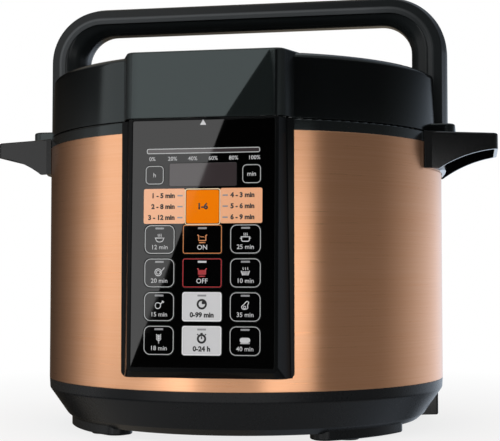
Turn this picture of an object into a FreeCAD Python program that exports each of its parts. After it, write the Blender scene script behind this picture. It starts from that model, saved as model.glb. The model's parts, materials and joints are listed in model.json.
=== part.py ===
import FreeCAD, Part
import math
import os

# Electric pressure cooker, modelled in millimetres.
# Origin on the body's axis at floor level, +Z up, control panel towards -Y.

os.makedirs("parts", exist_ok=True)
Vector = FreeCAD.Vector
UP = Vector(0, 0, 1)

# Body
body_radius = 145.0
shell_wall = 0.6
shell_low = 35.0
seam_height = 208.2
ring_height = 7.4
shell_high = seam_height - ring_height
fit_gap = 0.3
weld = 0.5
overcut = 1.0
beyond = 2 * body_radius
skyward = 2 * seam_height

# Base
base_crease_inset = 0.4
base_crease_radius = body_radius - base_crease_inset
base_crease_height = 28.0
base_rim_inset = 12.6
base_rim_radius = base_crease_radius - base_rim_inset
base_rim_height = 10.0
base_sole_inset = 5.0
base_sole_radius = base_rim_radius - base_sole_inset
base_sole_height = 5.7
base_crease_round = 3.0
base_rim_round = 1.0
base_sole_round = 0.6
base_lip_width = 4.0
base_wall = 2.6
wall_rim_rise = 2.0
wall_crease_rise = 0.9
spigot_height = 8.0
spigot_wall = 2.0
floor_low = 7.2
floor_wall = 2.5
hatch_margin = 43.0
hatch_radius = base_sole_radius - hatch_margin
cover_lap = 11.0
cover_radius = hatch_radius + cover_lap
cover_wall = 2.0
cover_head_radius = 3.4
cover_head_height = 1.6
vent_count = 12
vent_half = 1.5
vent_round = 1.4
vent_margin = 18.0
vent_length = 28.0
vent_outer = hatch_radius - vent_margin
vent_inner = vent_outer - vent_length
plinth_low = 1.0
plinth_proud = 2.0
plinth_depth = 20.0
plinth_end_round = 8.5
plinth_edge_round = 1.2
plinth_sink = 1.5
plinth_outer = base_sole_radius + plinth_proud
plinth_inner = plinth_outer - plinth_depth
plinth_start = 32.0
plinth_sweep = 38.0
foot_circle = (plinth_inner + plinth_outer) / 2
foot_angle = 45.0
foot_radius = 8.0
foot_recess = 1.6
foot_round = 0.8

# Vessel
pot_margin = 35.0
pot_inner_radius = body_radius - pot_margin
pot_wall = 1.6
pot_floor_wall = 2.0
pot_low = 50.0
pot_corner = 14.0
pot_lip_round = 0.6
pot_mouth_round = 1.0
pot_flange_width = 6.5
pot_flange_radius = pot_inner_radius + pot_flange_width
vessel_room = 4.0
vessel_inner_radius = pot_inner_radius + vessel_room
vessel_wall = 1.2
vessel_low = 34.0
vessel_hole = 24.0
vessel_corner = 6.0
flange_drop = 7.2
flange_low = seam_height - flange_drop
flange_wall = 3.0
flange_width = 4.0
flange_radius = vessel_inner_radius + flange_width
flange_tooth_width = 3.2
flange_tooth_radius = flange_radius + flange_tooth_width
tooth_count = 8
flange_tooth_angle = 20.0
lid_tooth_angle = 19.0
post_margin = 10.0
post_circle = vessel_inner_radius - post_margin
post_radius = 4.5
post_foot_radius = 7.0

# Heater
heater_margin = 12.0
heater_radius = pot_inner_radius - heater_margin
heater_low = 43.0
heater_leg_radius = 6.0
heater_leg_margin = 14.0
heater_leg_circle = heater_radius - heater_leg_margin
heater_bore = 10.5
heater_edge_round = 2.0
element_margin = 36.0
element_circle = heater_radius - element_margin
element_tube = 3.5
element_drop = 0.5
element_room = 0.15
element_gap_angle = 24.0
terminal_radius = 2.5
terminal_low = 28.0
terminal_room = 3.0
terminal_lead_angle = 2.0
sensor_radius = 9.0
sensor_flange_radius = 11.0
sensor_drop = 3.0
sensor_shoulder_drop = 0.5
sensor_gap = 0.1
sensor_round = 1.0
sensor_stem_radius = 3.0
sensor_stem_rise = 4.0
holder_radius = 13.6
holder_wall = 1.2
holder_low = 28.0
spring_radius = 6.5
spring_wire = 0.6
spring_turns = 4
shield_height = 24.0
shield_wall = 0.8
shield_margin = 2.0
shield_hole = 30.0
shield_radius = vessel_inner_radius - shield_margin
shield_inlet_back = 2.0
shield_inlet_side = 3.0
pressure_half = 15.0
pressure_front = -58.0
pressure_back = -36.0
pressure_height = 7.0
pressure_foot_half = 9.0
pressure_foot_inset = 3.0
pressure_foot_lap = 1.0
fuse_radius = 2.5
fuse_length = 22.0
fuse_y = 46.0
fuse_drop = 3.0
clip_half_width = 5.0
clip_half_depth = 4.0
clip_height = 2.0

# Power board
power_board_low = 14.0
power_board_wall = 1.6
power_board_half = 45.0
power_board_depth = 38.0
power_board_margin = 15.0
power_board_back = base_sole_radius - power_board_margin
power_board_front = power_board_back - power_board_depth
power_post_across = 5.0
power_post_along = 6.0
power_post_radius = 3.5
board_hole_radius = 1.35
board_thread_radius = 1.3
board_head_radius = 2.6
board_head_height = 1.5
board_shank_radius = 1.2
board_screw_gap = 0.3
relay_left = -30.0
relay_right = -10.0
relay_front_gap = 10.0
relay_back_gap = 12.0
relay_height = 7.5
transformer_left = 2.0
transformer_right = 24.0
transformer_front_gap = 4.0
transformer_back_gap = 18.0
transformer_height = 7.0
capacitor_radius = 4.5
capacitor_height = 7.5
capacitor_places = ((-2.0, 8.0), (12.0, 7.0))

# Upper ring
ring_reach = 19.0
ring_inner_radius = body_radius - ring_reach
ring_notch_half = 50.0
ring_deck = 2.5
ring_wall = 2.4
ring_skirt_depth = 8.8
ring_lip_depth = 9.0
ring_edge_round = 0.8
ring_mouth_round = 1.0
ring_notch_drop = 0.2
ring_skirt_low = shell_high - ring_skirt_depth

# Side handles
handle_length = 40.2
handle_reach = body_radius + handle_length
handle_sink = 15.0
handle_top = seam_height
handle_half = 50.6
handle_tip_half = 32.5
handle_flare_half = 57.0
handle_flare_inset = 5.0
handle_root_depth = 25.7
handle_root_low = handle_top - handle_root_depth
handle_tip_depth = 11.1
handle_tip_low = handle_top - handle_tip_depth
handle_belly_length = 20.5
handle_belly_x = body_radius + handle_belly_length
handle_belly_depth = 15.4
handle_belly_low = handle_top - handle_belly_depth
handle_corner = 6.0
handle_top_round = 1.6
handle_pad = 3.0
handle_wall = 2.5
handle_screw_half = 12.0
handle_screw_drop = 20.7
handle_hole_radius = 2.4
handle_hole_reach = 10.0
handle_thread_radius = 2.15
handle_thread_start = 7.0
handle_thread_length = 12.0
handle_head_radius = 4.0
handle_head_height = 2.0
handle_shank_radius = 2.0
handle_screw_length = 6.5
handle_head_gap = 0.1
handle_screw_height = handle_top - handle_screw_drop

# Control panel
panel_tilt = math.degrees(math.atan(0.0261))
panel_stand_off = 6.85
panel_base_y = -body_radius - panel_stand_off
panel_half = 48.5
panel_low = 48.0
panel_draft = 0.42
panel_foot_draft = 0.78
panel_corner = 4.0
panel_least_corner = 1.0
panel_wall = 2.2
flange_half = 56.5
flange_corner = 3.2
flange_proud = 1.5
flange_foot = 43.8
overlay_half = 46.0
overlay_corner = 1.2
overlay_low = 50.6
overlay_drop = 1.1
overlay_high = seam_height - overlay_drop
overlay_face = 0.4
overlay_wall = 1.6
ledge_width = 3.7
ledge_wall = 2.0
ledge_sink = 0.2
opening_corner = 2.0
frame_depth = 20.0
frame_headroom = 5.0
cut_front = -5.0
cut_back = 20.0
window_half = 47.0
window_low = 52.0

# Keys, display and status bar
key_gap = 0.3
key_tab = 1.0
key_tab_wall = 1.0
key_seat = 0.25
key_post_radius = 2.0
key_post_length = 1.1
key_sink = 0.2
key_edge_round = 0.25
key_tab_corner = 0.8
column_offset = 27.7
side_key_width = 19.7
centre_key_width = 25.4
side_key_corner = 4.0
centre_key_corner = 1.6
start_key_corner = 1.2
time_key_corner = 3.0
window_corner = 1.2
trim_corner = 1.0
module_inset = 0.5
module_corner = 0.5
status_half = 36.8
status_drop = 18.0
status_high = overlay_high - status_drop
status_height = 3.4
status_low = status_high - status_height
display_half = 21.9
display_drop = 6.0
display_high = status_low - display_drop
display_height = 15.0
display_low = display_high - display_height
time_key_size = 12.0
time_key_offset = 31.4
time_key_height = (display_low + display_high) / 2
start_key_size = 21.2
start_key_drop = 2.3
start_key_high = display_low - start_key_drop
start_key_height = start_key_high - start_key_size / 2
row_space = 2.8
first_row_drop = 0.8
key_field_high = start_key_high - start_key_size - first_row_drop
key_field_rise = 7.8
key_field_low = overlay_low + key_field_rise
key_height = (key_field_high - key_field_low - 3 * row_space) / 4
row_pitch = key_height + row_space
first_row = key_field_high - key_height / 2
trim_gap = 0.15
board_depth = 8.0
board_wall = 1.6
board_half = 44.5
board_low = 54.0
board_drop = 16.5
board_high = overlay_high - board_drop
board_post_half = 43.0
board_post_inset = 4.0
board_post_radius = 2.4
board_thread_floor = 1.0
board_corner = 2.0
board_post_rows = (board_low + board_post_inset, board_high - board_post_inset)
switch_size = 6.0
switch_top = 5.6
plunger_reach = 0.55
plunger_radius = 1.6
plunger_sink = 0.2
switch_corner = 0.4

# Lid
lid_gap = 0.6
lid_inset = 0.5
lid_taper = 1.5
lid_low_radius = body_radius - lid_inset
lid_top_radius = lid_low_radius - lid_taper
lid_rise = 43.2
lid_edge_height = seam_height + lid_rise
lid_edge_round = 4.0
lid_inner_round = 2.0
lid_undercut = 5.0
dome_rise = 4.5
lid_crown = lid_edge_height + dome_rise
lid_slope_width = 51.0
lid_flat_radius = lid_top_radius - lid_slope_width
lid_wall = 2.5
lid_box_rise = 0.6
lid_box_top = lid_edge_height + lid_box_rise
lid_box_half = 50.4
lid_box_corner = 6.5
lid_box_round = 1.5
lid_box_lap = 1.0
lid_box_depth = 32.0
ear_gap = 0.5
ear_low = handle_top + ear_gap
ear_wall = 6.3
ear_top = ear_low + ear_wall
ear_length = 10.7
ear_anchor = 18.0
ear_root = body_radius - ear_anchor
ear_half = 39.0
ear_corner = 8.0
ear_round = 1.5
recess_depth = 13.5
recess_x = body_radius - recess_depth
recess_half = 27.0
skirt_drop = 4.0
plate_skirt_low = flange_low - skirt_drop
skirt_gap = 0.8
plate_skirt_inner = flange_tooth_radius + skirt_gap
plate_wall = 1.5
plate_shoulder_rise = 8.8
plate_shoulder = seam_height + plate_shoulder_rise
plate_crown_rise = 7.5
plate_crown = plate_shoulder + plate_crown_rise
plate_shoulder_width = 22.0
plate_shoulder_radius = plate_skirt_inner - plate_shoulder_width
plate_rise_width = 20.0
plate_crown_radius = plate_shoulder_radius - plate_rise_width
lid_tooth_gap = 0.4
lid_tooth_inner = flange_radius + lid_tooth_gap
lid_tooth_wall = 2.5
plate_inner_round = 6.0
plate_skirt_round = 1.5
plate_lean = 0.5
lid_boss_margin = 20.0
lid_boss_circle = plate_crown_radius - lid_boss_margin
lid_boss_radius = 5.0
lid_boss_depth = 12.0
lid_head_radius = 4.0
lid_head_height = 1.8
lid_screw_length = 11.0
screw_shank = 1.8
screw_hole = 1.95
lid_ring_rise = 1.2
lid_ring_low = seam_height + lid_ring_rise
lid_ring_wall = 2.0
lid_ring_break = max(recess_half + lid_wall, ear_half) + fit_gap

# Lid fittings
seal_gap = 0.6
seal_inner = pot_inner_radius
seal_outer = flange_radius - seal_gap
seal_groove_depth = 2.6
seal_headroom = 0.4
seal_round = 0.8
seal_back_round = 1.2
seal_groove_rise = 1.2
seal_groove_low = seam_height + seal_groove_rise
seal_groove_height = 3.8
seal_groove_high = seal_groove_low + seal_groove_height
rack_width = 6.0
rack_inner = seal_inner - rack_width
rack_gap = 0.1
rack_round = 0.8
pipe_y = 40.0
pipe_radius = 4.0
pipe_bore = 1.8
pipe_room = 1.0
pipe_collar_radius = 7.0
pipe_collar_height = 2.0
nut_radius = 8.0
nut_height = 4.0
thread_gap = 0.05
pipe_drop = 9.5
pipe_low = plate_crown - pipe_drop
pipe_rise = 0.5
pipe_top = lid_crown + pipe_rise
cap_radius = 14.0
cap_drop = 11.5
cap_round = 1.2
cap_wall = 0.8
cap_slot_count = 8
cap_slot_start = 2.0
cap_slot_half = 1.2
cap_slot_rise = 3.5
cap_slot_drop = 2.5
cap_low = plate_crown - cap_drop
well_radius = 22.0
well_depth = 6.5
well_wall = 2.0
well_floor = lid_crown - well_depth
regulator_radius = 13.0
regulator_rise = 6.5
regulator_gap = 1.0
regulator_taper = 1.0
regulator_round = 1.0
regulator_bore_room = 0.5
lever_rise = 8.5
lever_tail = 11.0
lever_tail_half = 8.0
lever_tail_round = 6.0
lever_reach = 24.0
lever_tip_half = 6.0
lever_tip_round = 5.5
lever_edge_round = 2.0
regulator_top = lid_crown + regulator_rise
float_x = -32.0
float_y = 20.0
float_radius = 2.5
float_rise = 4.0
float_drop = 2.5
float_room = 1.5
float_plate_room = 0.5
float_head_gap = 2.8
float_head_height = 1.5
float_head_radius = 5.0
float_collar_radius = 4.6
float_collar_height = 1.2
float_seal_radius = 4.8
float_seal_height = 1.3
float_top = lid_crown - float_drop

# Carry handle
arch_overhang = 4.9
arch_reach = body_radius + arch_overhang
arch_rise = 56.1
arch_top = lid_crown + arch_rise
arch_half = 21.2
arch_corner = 42.5
arch_depth = 25.5
arch_inner_corner = 22.0
belly_lift = 6.0
belly_top = arch_top + belly_lift
leg_set_in = 13.0
leg_inner = body_radius - leg_set_in
leg_screw_inset = 5.0
leg_screw_half = 12.0
leg_screw_length = 13.0
leg_screw_room = 2.15
leg_screw_head = 2.5
leg_head_radius = 4.0
leg_head_room = 4.4
leg_step_rise = 2.6
leg_step = lid_edge_height + leg_step_rise

# Mains inlet
inlet_azimuth = 110.0
inlet_set_back = 0.6
inlet_depth = 32.0
inlet_face = base_crease_radius - inlet_set_back
inlet_root = inlet_face - inlet_depth
inlet_half = 17.0
inlet_low = 4.0
inlet_high = 30.0
inlet_round = 2.0
inlet_overcut = 10.0
socket_half_width = 12.1
socket_half_height = 8.1
socket_depth = 15.0
socket_corner = 1.0
socket_shoulder = 3.0
socket_chamfer = 5.0
blade_length = 9.0
blade_tail = 6.0
blade_half_width = 1.0
blade_half_height = 2.0
blade_room = 0.2
blade_places = ((-7.0, -2.0), (0.0, 2.0), (7.0, -2.0))


def save(name, shape):
    shape.exportStep("parts/" + name + ".step")
    print(name, "solids", len(shape.Solids), "volume", round(shape.Volume, 1), "valid", shape.isValid())


def rounded_wire(points, place):
    """Closed wire through (a, b) or (a, b, radius) corners; place turns (a, b) into a 3-D point."""
    count = len(points)
    starts = []
    ends = []
    middles = []
    for i in range(count):
        here = Vector(points[i][0], points[i][1], 0)
        before = Vector(points[i - 1][0], points[i - 1][1], 0)
        after = Vector(points[(i + 1) % count][0], points[(i + 1) % count][1], 0)
        radius = points[i][2] if len(points[i]) > 2 else 0
        if radius == 0:
            starts.append(here)
            ends.append(here)
            middles.append(None)
            continue
        back = (before - here).normalize()
        ahead = (after - here).normalize()
        half = math.acos(max(-1, min(1, back.dot(ahead)))) / 2
        along = radius / math.tan(half)
        inward = (back + ahead).normalize()
        centre = here + inward * (radius / math.sin(half))
        starts.append(here + back * along)
        ends.append(here + ahead * along)
        middles.append(centre - inward * radius)
    edges = []
    for i in range(count):
        if middles[i] is not None:
            corner = [place(p.x, p.y) for p in (starts[i], middles[i], ends[i])]
            edges.append(Part.Arc(corner[0], corner[1], corner[2]).toShape())
        following = starts[(i + 1) % count]
        if (following - ends[i]).Length > 1e-6:
            edges.append(Part.makeLine(place(ends[i].x, ends[i].y), place(following.x, following.y)))
    return Part.Wire(edges)


def turned(points, angle=360.0, start=0.0):
    """Solid of revolution about Z from (radius, height) corners."""
    wire = rounded_wire(points, lambda r, z: Vector(r, 0, z))
    solid = Part.Face(wire).revolve(Vector(0, 0, 0), UP, angle)
    solid.rotate(Vector(0, 0, 0), UP, start)
    return solid


def rod(radius, x, y, low, high):
    return Part.makeCylinder(radius, high - low, Vector(x, y, low))


def block(x0, x1, y0, y1, z0, z1):
    return Part.makeBox(x1 - x0, y1 - y0, z1 - z0, Vector(x0, y0, z0))


def slab(points, low, high):
    """Upright prism from plan corners (x, y) or (x, y, radius)."""
    wire = rounded_wire(points, lambda x, y: Vector(x, y, low))
    return Part.Face(wire).extrude(Vector(0, 0, high - low))


def tile(half_width, low, high, corner, front, back, centre=0.0):
    """Rounded plate in panel space: x across, depth inwards along +Y, height along the face."""
    points = [(centre - half_width, low, corner), (centre + half_width, low, corner),
              (centre + half_width, high, corner), (centre - half_width, high, corner)]
    wire = rounded_wire(points, lambda x, z: Vector(x, front, z))
    return Part.Face(wire).extrude(Vector(0, back - front, 0))


def pin(radius, x, height, front, back):
    """Round pin in panel space, along the depth."""
    return Part.makeCylinder(radius, back - front, Vector(x, front, height), Vector(0, 1, 0))


def on_panel(shape):
    """Moves a shape from panel space to its tilted place on the body."""
    placed = shape.copy()
    placed.rotate(Vector(0, 0, 0), Vector(1, 0, 0), -panel_tilt)
    placed.translate(Vector(0, panel_base_y, 0))
    return placed


def around(shape, angle):
    turned_shape = shape.copy()
    turned_shape.rotate(Vector(0, 0, 0), UP, angle)
    return turned_shape


def mirrored(shape):
    return shape.mirror(Vector(0, 0, 0), Vector(1, 0, 0))


def joined(shapes):
    first = shapes[0]
    return first.fuse(shapes[1:]).removeSplitter()


def polar(radius, angle):
    return radius * math.cos(math.radians(angle)), radius * math.sin(math.radians(angle))


def rounded(shape, radius, chosen):
    return shape.makeFillet(radius, [edge for edge in shape.Edges if chosen(edge)])


# Base tray: tapered bowl with a spigot for the shell, plinths, posts for the vessel and a hatch
spigot_radius = body_radius - shell_wall - fit_gap
floor_high = floor_low + floor_wall
base_profile = [
    (body_radius, shell_low),
    (base_crease_radius, base_crease_height, base_crease_round),
    (base_rim_radius, base_rim_height, base_rim_round),
    (base_sole_radius, base_sole_height, base_sole_round),
    (base_sole_radius - base_lip_width, base_sole_height),
    (base_sole_radius - base_lip_width, floor_low),
    (hatch_radius, floor_low),
    (hatch_radius, floor_high),
    (base_sole_radius - base_sole_round, floor_high),
    (base_rim_radius - base_wall, base_rim_height + wall_rim_rise),
    (base_crease_radius - base_wall, base_crease_height + wall_crease_rise),
    (spigot_radius - spigot_wall, shell_low + spigot_height),
    (spigot_radius, shell_low + spigot_height),
    (spigot_radius, shell_low),
]
tray = turned(base_profile)
plinth_high = base_rim_height - plinth_sink
plinth = turned([(plinth_inner, plinth_low), (plinth_outer, plinth_low), (plinth_outer, plinth_high),
                 (plinth_inner, plinth_high)], plinth_sweep, -plinth_sweep / 2)
plinth = rounded(plinth, plinth_end_round, lambda edge: abs(edge.tangentAt(edge.FirstParameter).z) > 0.99)
plinth = rounded(plinth, plinth_edge_round, lambda edge: edge.BoundBox.ZMax < plinth_low + 0.01)
feet_angles = [-90 + side * foot_angle for side in (-1, 1)] + [90 + side * foot_angle for side in (-1, 1)]
tray_parts = [tray]
for side in (-1, 1):
    for end in (-90, 90):
        middle = end + side * (plinth_start + plinth_sweep / 2)
        tray_parts.append(around(plinth, middle))
post_angles = [45 + 90 * k for k in range(4)]
for angle in post_angles:
    x, y = polar(post_circle, angle)
    tray_parts.append(rod(post_foot_radius, x, y, floor_low + weld, shield_height))
    tray_parts.append(rod(post_radius, x, y, floor_low + weld, vessel_low))
power_post_x = power_board_half - power_post_across
power_post_rows = (power_board_front + power_post_along, power_board_back - power_post_along)
board_posts = [(x, y) for x in (-power_post_x, power_post_x) for y in power_post_rows]
for x, y in board_posts:
    tray_parts.append(rod(power_post_radius, x, y, floor_low + weld, power_board_low))
tray = joined(tray_parts)

inlet_turn = inlet_azimuth - 90.0
inlet_hole = block(inlet_root - fit_gap, inlet_face + inlet_overcut, -inlet_half - fit_gap,
                   inlet_half + fit_gap, inlet_low - inlet_overcut, inlet_high + fit_gap)
tray = tray.cut(around(inlet_hole, inlet_turn))
for angle in feet_angles:
    x, y = polar(foot_circle, angle)
    tray = tray.cut(rod(foot_radius + fit_gap, x, y, plinth_low - overcut, plinth_low + foot_recess))
cover_screw_angles = [0, 120, 240]
cover_screw_circle = (hatch_radius + cover_radius) / 2
for angle in cover_screw_angles:
    x, y = polar(cover_screw_circle, angle)
    tray = tray.cut(rod(screw_hole, x, y, floor_low - overcut, floor_high + overcut))
for x, y in board_posts:
    tray = tray.cut(rod(board_hole_radius, x, y, floor_high, power_board_low + overcut))
save("base_tray", tray)

feet = []
for angle in feet_angles:
    x, y = polar(foot_circle, angle)
    foot = rod(foot_radius, x, y, 0, plinth_low + foot_recess)
    feet.append(rounded(foot, foot_round, lambda edge: edge.CenterOfMass.z < 0.1))
save("rubber_feet", Part.makeCompound(feet))

cover = rod(cover_radius, 0, 0, floor_low - cover_wall, floor_low)
vent_pitch = 360.0 / vent_count
for k in range(vent_count):
    vent = slab([(vent_inner, -vent_half, vent_round), (vent_outer, -vent_half, vent_round),
                 (vent_outer, vent_half, vent_round), (vent_inner, vent_half, vent_round)],
                floor_low - cover_wall - overcut, floor_low + overcut)
    cover = cover.cut(around(vent, (k + 0.5) * vent_pitch))
cover_screws = []
for angle in cover_screw_angles:
    x, y = polar(cover_screw_circle, angle)
    cover = cover.cut(rod(screw_hole, x, y, 0, floor_low + overcut))
    head = rod(cover_head_radius, x, y, floor_low - cover_wall - cover_head_height, floor_low - cover_wall)
    shank = rod(screw_shank, x, y, floor_low - cover_wall, floor_high)
    cover_screws.append(head.fuse(shank))
save("bottom_cover", cover)
save("cover_screws", Part.makeCompound(cover_screws))

# Outer shell: one rolled band standing on the base's shoulder, with a window behind the panel
shell = turned([(body_radius, shell_low), (body_radius, shell_high),
                (body_radius - shell_wall, shell_high), (body_radius - shell_wall, shell_low)])
shell = shell.cut(block(-window_half, window_half, -beyond, 0, window_low, shell_high + overcut))
for side in (-1, 1):
    for half in (-1, 1):
        hole_x = side * (body_radius - handle_hole_reach)
        hole_start = Vector(hole_x, half * handle_screw_half, handle_screw_height)
        hole = Part.makeCylinder(handle_hole_radius, 2 * handle_hole_reach, hole_start, Vector(side, 0, 0))
        shell = shell.cut(hole)
save("outer_shell", shell)

# Upper ring: caps the shell, its deck runs in to the lid's mouth
ring = turned([
    (body_radius, shell_high), (body_radius, seam_height, ring_edge_round),
    (ring_inner_radius, seam_height, ring_mouth_round), (ring_inner_radius, seam_height - ring_lip_depth),
    (ring_inner_radius + ring_wall, seam_height - ring_lip_depth),
    (ring_inner_radius + ring_wall, seam_height - ring_deck),
    (spigot_radius - ring_wall, seam_height - ring_deck),
    (spigot_radius - ring_wall, ring_skirt_low), (spigot_radius, ring_skirt_low),
    (spigot_radius, shell_high),
])
ring = ring.cut(block(-ring_notch_half, ring_notch_half, -beyond, 0, ring_skirt_low - overcut,
                      shell_high - ring_notch_drop))
overlay_back = overlay_face + overlay_wall
overlay_room = tile(overlay_half + trim_gap, shell_low, overlay_high + trim_gap, overlay_corner,
                    cut_front, overlay_back + fit_gap)
ring = ring.cut(on_panel(overlay_room))
save("upper_ring", ring)


# Side handles: hollow mouldings open underneath
def side_handle():
    top_line = handle_top
    low_curve = Part.Arc(Vector(handle_reach, 0, handle_tip_low),
                         Vector(handle_belly_x, 0, handle_belly_low),
                         Vector(body_radius, 0, handle_root_low)).toShape()
    root = body_radius - handle_sink
    edges = [
        low_curve,
        Part.makeLine(Vector(body_radius, 0, handle_root_low), Vector(root, 0, handle_root_low)),
        Part.makeLine(Vector(root, 0, handle_root_low), Vector(root, 0, top_line)),
        Part.makeLine(Vector(root, 0, top_line), Vector(handle_reach, 0, top_line)),
        Part.makeLine(Vector(handle_reach, 0, top_line), Vector(handle_reach, 0, handle_tip_low)),
    ]
    side_face = Part.Face(Part.Wire(edges))
    side_face.translate(Vector(0, -handle_flare_half, 0))
    form = side_face.extrude(Vector(0, 2 * handle_flare_half, 0))
    flare_x = body_radius - handle_flare_inset
    plan = slab([(root, -handle_flare_half), (flare_x, -handle_half),
                 (handle_reach, -handle_tip_half, handle_corner),
                 (handle_reach, handle_tip_half, handle_corner),
                 (flare_x, handle_half), (root, handle_flare_half)], 0, top_line)
    plan = rounded(plan, handle_top_round, lambda edge: abs(edge.CenterOfMass.z - top_line) < 0.01
                   and edge.CenterOfMass.x > flare_x)
    form = form.common(plan)
    room_half = handle_half - handle_wall
    room_tip_half = handle_tip_half - handle_wall
    room_reach = handle_reach - handle_wall
    room_corner = handle_corner - handle_wall
    hollow = slab([(flare_x, -room_half), (room_reach, -room_tip_half, room_corner),
                   (room_reach, room_tip_half, room_corner), (flare_x, room_half)],
                  0, top_line - handle_wall)
    hollow = hollow.cut(rod(body_radius + fit_gap + handle_pad, 0, 0, 0, skyward))
    form = form.cut(hollow)
    form = form.cut(rod(body_radius + fit_gap, 0, 0, 0, skyward))
    for half in (-1, 1):
        hole_start = Vector(body_radius - handle_thread_start, half * handle_screw_half, handle_screw_height)
        thread = Part.makeCylinder(handle_thread_radius, handle_thread_length, hole_start, Vector(1, 0, 0))
        form = form.cut(thread)
    return form


right_handle = side_handle()
save("side_handle_right", right_handle)
save("side_handle_left", mirrored(right_handle))

handle_screws = []
for side in (-1, 1):
    for half in (-1, 1):
        head_edge = handle_screw_half + handle_head_radius
        seat = math.sqrt((body_radius - shell_wall) ** 2 - head_edge ** 2) - handle_head_gap
        start = Vector(side * (seat - handle_head_height), half * handle_screw_half, handle_screw_height)
        head = Part.makeCylinder(handle_head_radius, handle_head_height, start, Vector(side, 0, 0))
        shank = Part.makeCylinder(handle_shank_radius, handle_screw_length, start, Vector(side, 0, 0))
        handle_screws.append(head.fuse(shank))
save("side_handle_screws", Part.makeCompound(handle_screws))


# Panel housing: drafted frame standing off the shell, with a ledge for the overlay and board posts
def drafted_frame(inset, top, draft_depth):
    """Four-sided body growing inwards from the face by the drafts; inset shrinks it on every side."""
    spread = panel_draft * draft_depth
    face_half = panel_half - inset
    face_low = panel_low + inset
    back_low = face_low - panel_foot_draft * draft_depth
    corner = max(panel_corner - inset, panel_least_corner)
    front = rounded_wire([(-face_half, face_low, corner), (face_half, face_low, corner),
                          (face_half, top), (-face_half, top)], lambda x, z: Vector(x, 0, z))
    back = rounded_wire([(-face_half - spread, back_low, corner), (face_half + spread, back_low, corner),
                         (face_half + spread, top), (-face_half - spread, top)],
                        lambda x, z: Vector(x, draft_depth, z))
    return Part.makeLoft([front, back], True, True)


seat_cylinder = rod(body_radius + fit_gap, 0, 0, 0, skyward)
housing_span = block(-beyond, beyond, -beyond, beyond, flange_foot, seam_height)
room_span = block(-beyond, beyond, -beyond, beyond, flange_foot + panel_wall, seam_height)
frame_form = on_panel(drafted_frame(0.0, seam_height + frame_headroom, frame_depth)).common(housing_span)
frame_room = drafted_frame(panel_wall, seam_height - panel_wall, frame_depth)
behind_ledge = block(-beyond, beyond, overlay_back + ledge_wall, beyond, 0, skyward)
frame_room = on_panel(frame_room.common(behind_ledge)).common(room_span)
opening = on_panel(tile(overlay_half - ledge_width, overlay_low + ledge_width, overlay_high - ledge_width,
                        opening_corner, cut_front, cut_back))
overlay_bed = on_panel(tile(overlay_half + trim_gap, overlay_low - trim_gap, overlay_high + trim_gap,
                            overlay_corner + trim_gap, cut_front, overlay_back))
flange_plan = block(-flange_half, flange_half, -beyond, 0, flange_foot, seam_height)
flange_plan = rounded(flange_plan, flange_corner, lambda edge: abs(edge.CenterOfMass.z - flange_foot) < 0.1
                      and abs(edge.CenterOfMass.x) > flange_half - 0.1)
flange_ring = rod(body_radius + fit_gap + flange_proud, 0, 0, 0, skyward).common(flange_plan)
housing = frame_form.fuse(flange_ring)
housing = housing.cut(frame_room)
housing = housing.cut(opening)
housing = housing.cut(overlay_bed)
housing = housing.cut(seat_cylinder)
board_holes = []
posts = []
for x in (-board_post_half, board_post_half):
    for height in board_post_rows:
        posts.append(on_panel(pin(board_post_radius, x, height, overlay_back + ledge_sink, board_depth)))
        board_holes.append((x, height))
housing = joined([housing] + posts)
for x, height in board_holes:
    thread = pin(board_thread_radius, x, height, overlay_back + board_thread_floor, board_depth + overcut)
    housing = housing.cut(on_panel(thread))
save("panel_housing", housing)

# Keys: name, centre across, centre height, width, height, corner
keys = [
    ("key_hour", -time_key_offset, time_key_height, time_key_size, time_key_size, time_key_corner),
    ("key_minute", time_key_offset, time_key_height, time_key_size, time_key_size, time_key_corner),
    ("key_start", 0.0, start_key_height, start_key_size, start_key_size, start_key_corner),
]
for row in range(4):
    height = first_row - row * row_pitch
    place = "key_%d_" % (row + 1)
    keys.append((place + "left", -column_offset, height, side_key_width, key_height, side_key_corner))
    keys.append((place + "centre", 0.0, height, centre_key_width, key_height, centre_key_corner))
    keys.append((place + "right", column_offset, height, side_key_width, key_height, side_key_corner))

overlay = tile(overlay_half, overlay_low, overlay_high, overlay_corner, overlay_face, overlay_back)
overlay = overlay.cut(tile(display_half, display_low, display_high, window_corner, cut_front, cut_back))
overlay = overlay.cut(tile(status_half, status_low, status_high, window_corner, cut_front, cut_back))
for name, x, height, width, tall, corner in keys:
    gap_tile = tile(width / 2 + key_gap, height - tall / 2 - key_gap, height + tall / 2 + key_gap,
                    corner + key_gap, cut_front, cut_back, x)
    overlay = overlay.cut(gap_tile)
save("panel_overlay", on_panel(overlay))

tab_front = overlay_back + key_seat
tab_back = tab_front + key_tab_wall
post_back = tab_back + key_post_length
switches = []
for name, x, height, width, tall, corner in keys:
    cap = tile(width / 2, height - tall / 2, height + tall / 2, corner, overlay_face, tab_back, x)
    cap = rounded(cap, key_edge_round, lambda edge: edge.CenterOfMass.y < overlay_face + 0.01)
    tabs = tile(width / 2 + key_tab, height - tall / 4, height + tall / 4, key_tab_corner,
                tab_front, tab_back, x)
    post = pin(key_post_radius, x, height, tab_back - key_sink, post_back)
    save(name, on_panel(joined([cap, tabs, post])))
    body = tile(switch_size / 2, height - switch_size / 2, height + switch_size / 2, switch_corner,
                switch_top, board_depth, x)
    plunger = pin(plunger_radius, x, height, switch_top - plunger_reach, switch_top + plunger_sink)
    switches.append(on_panel(body.fuse(plunger)))
save("tact_switches", Part.makeCompound(switches))

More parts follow.
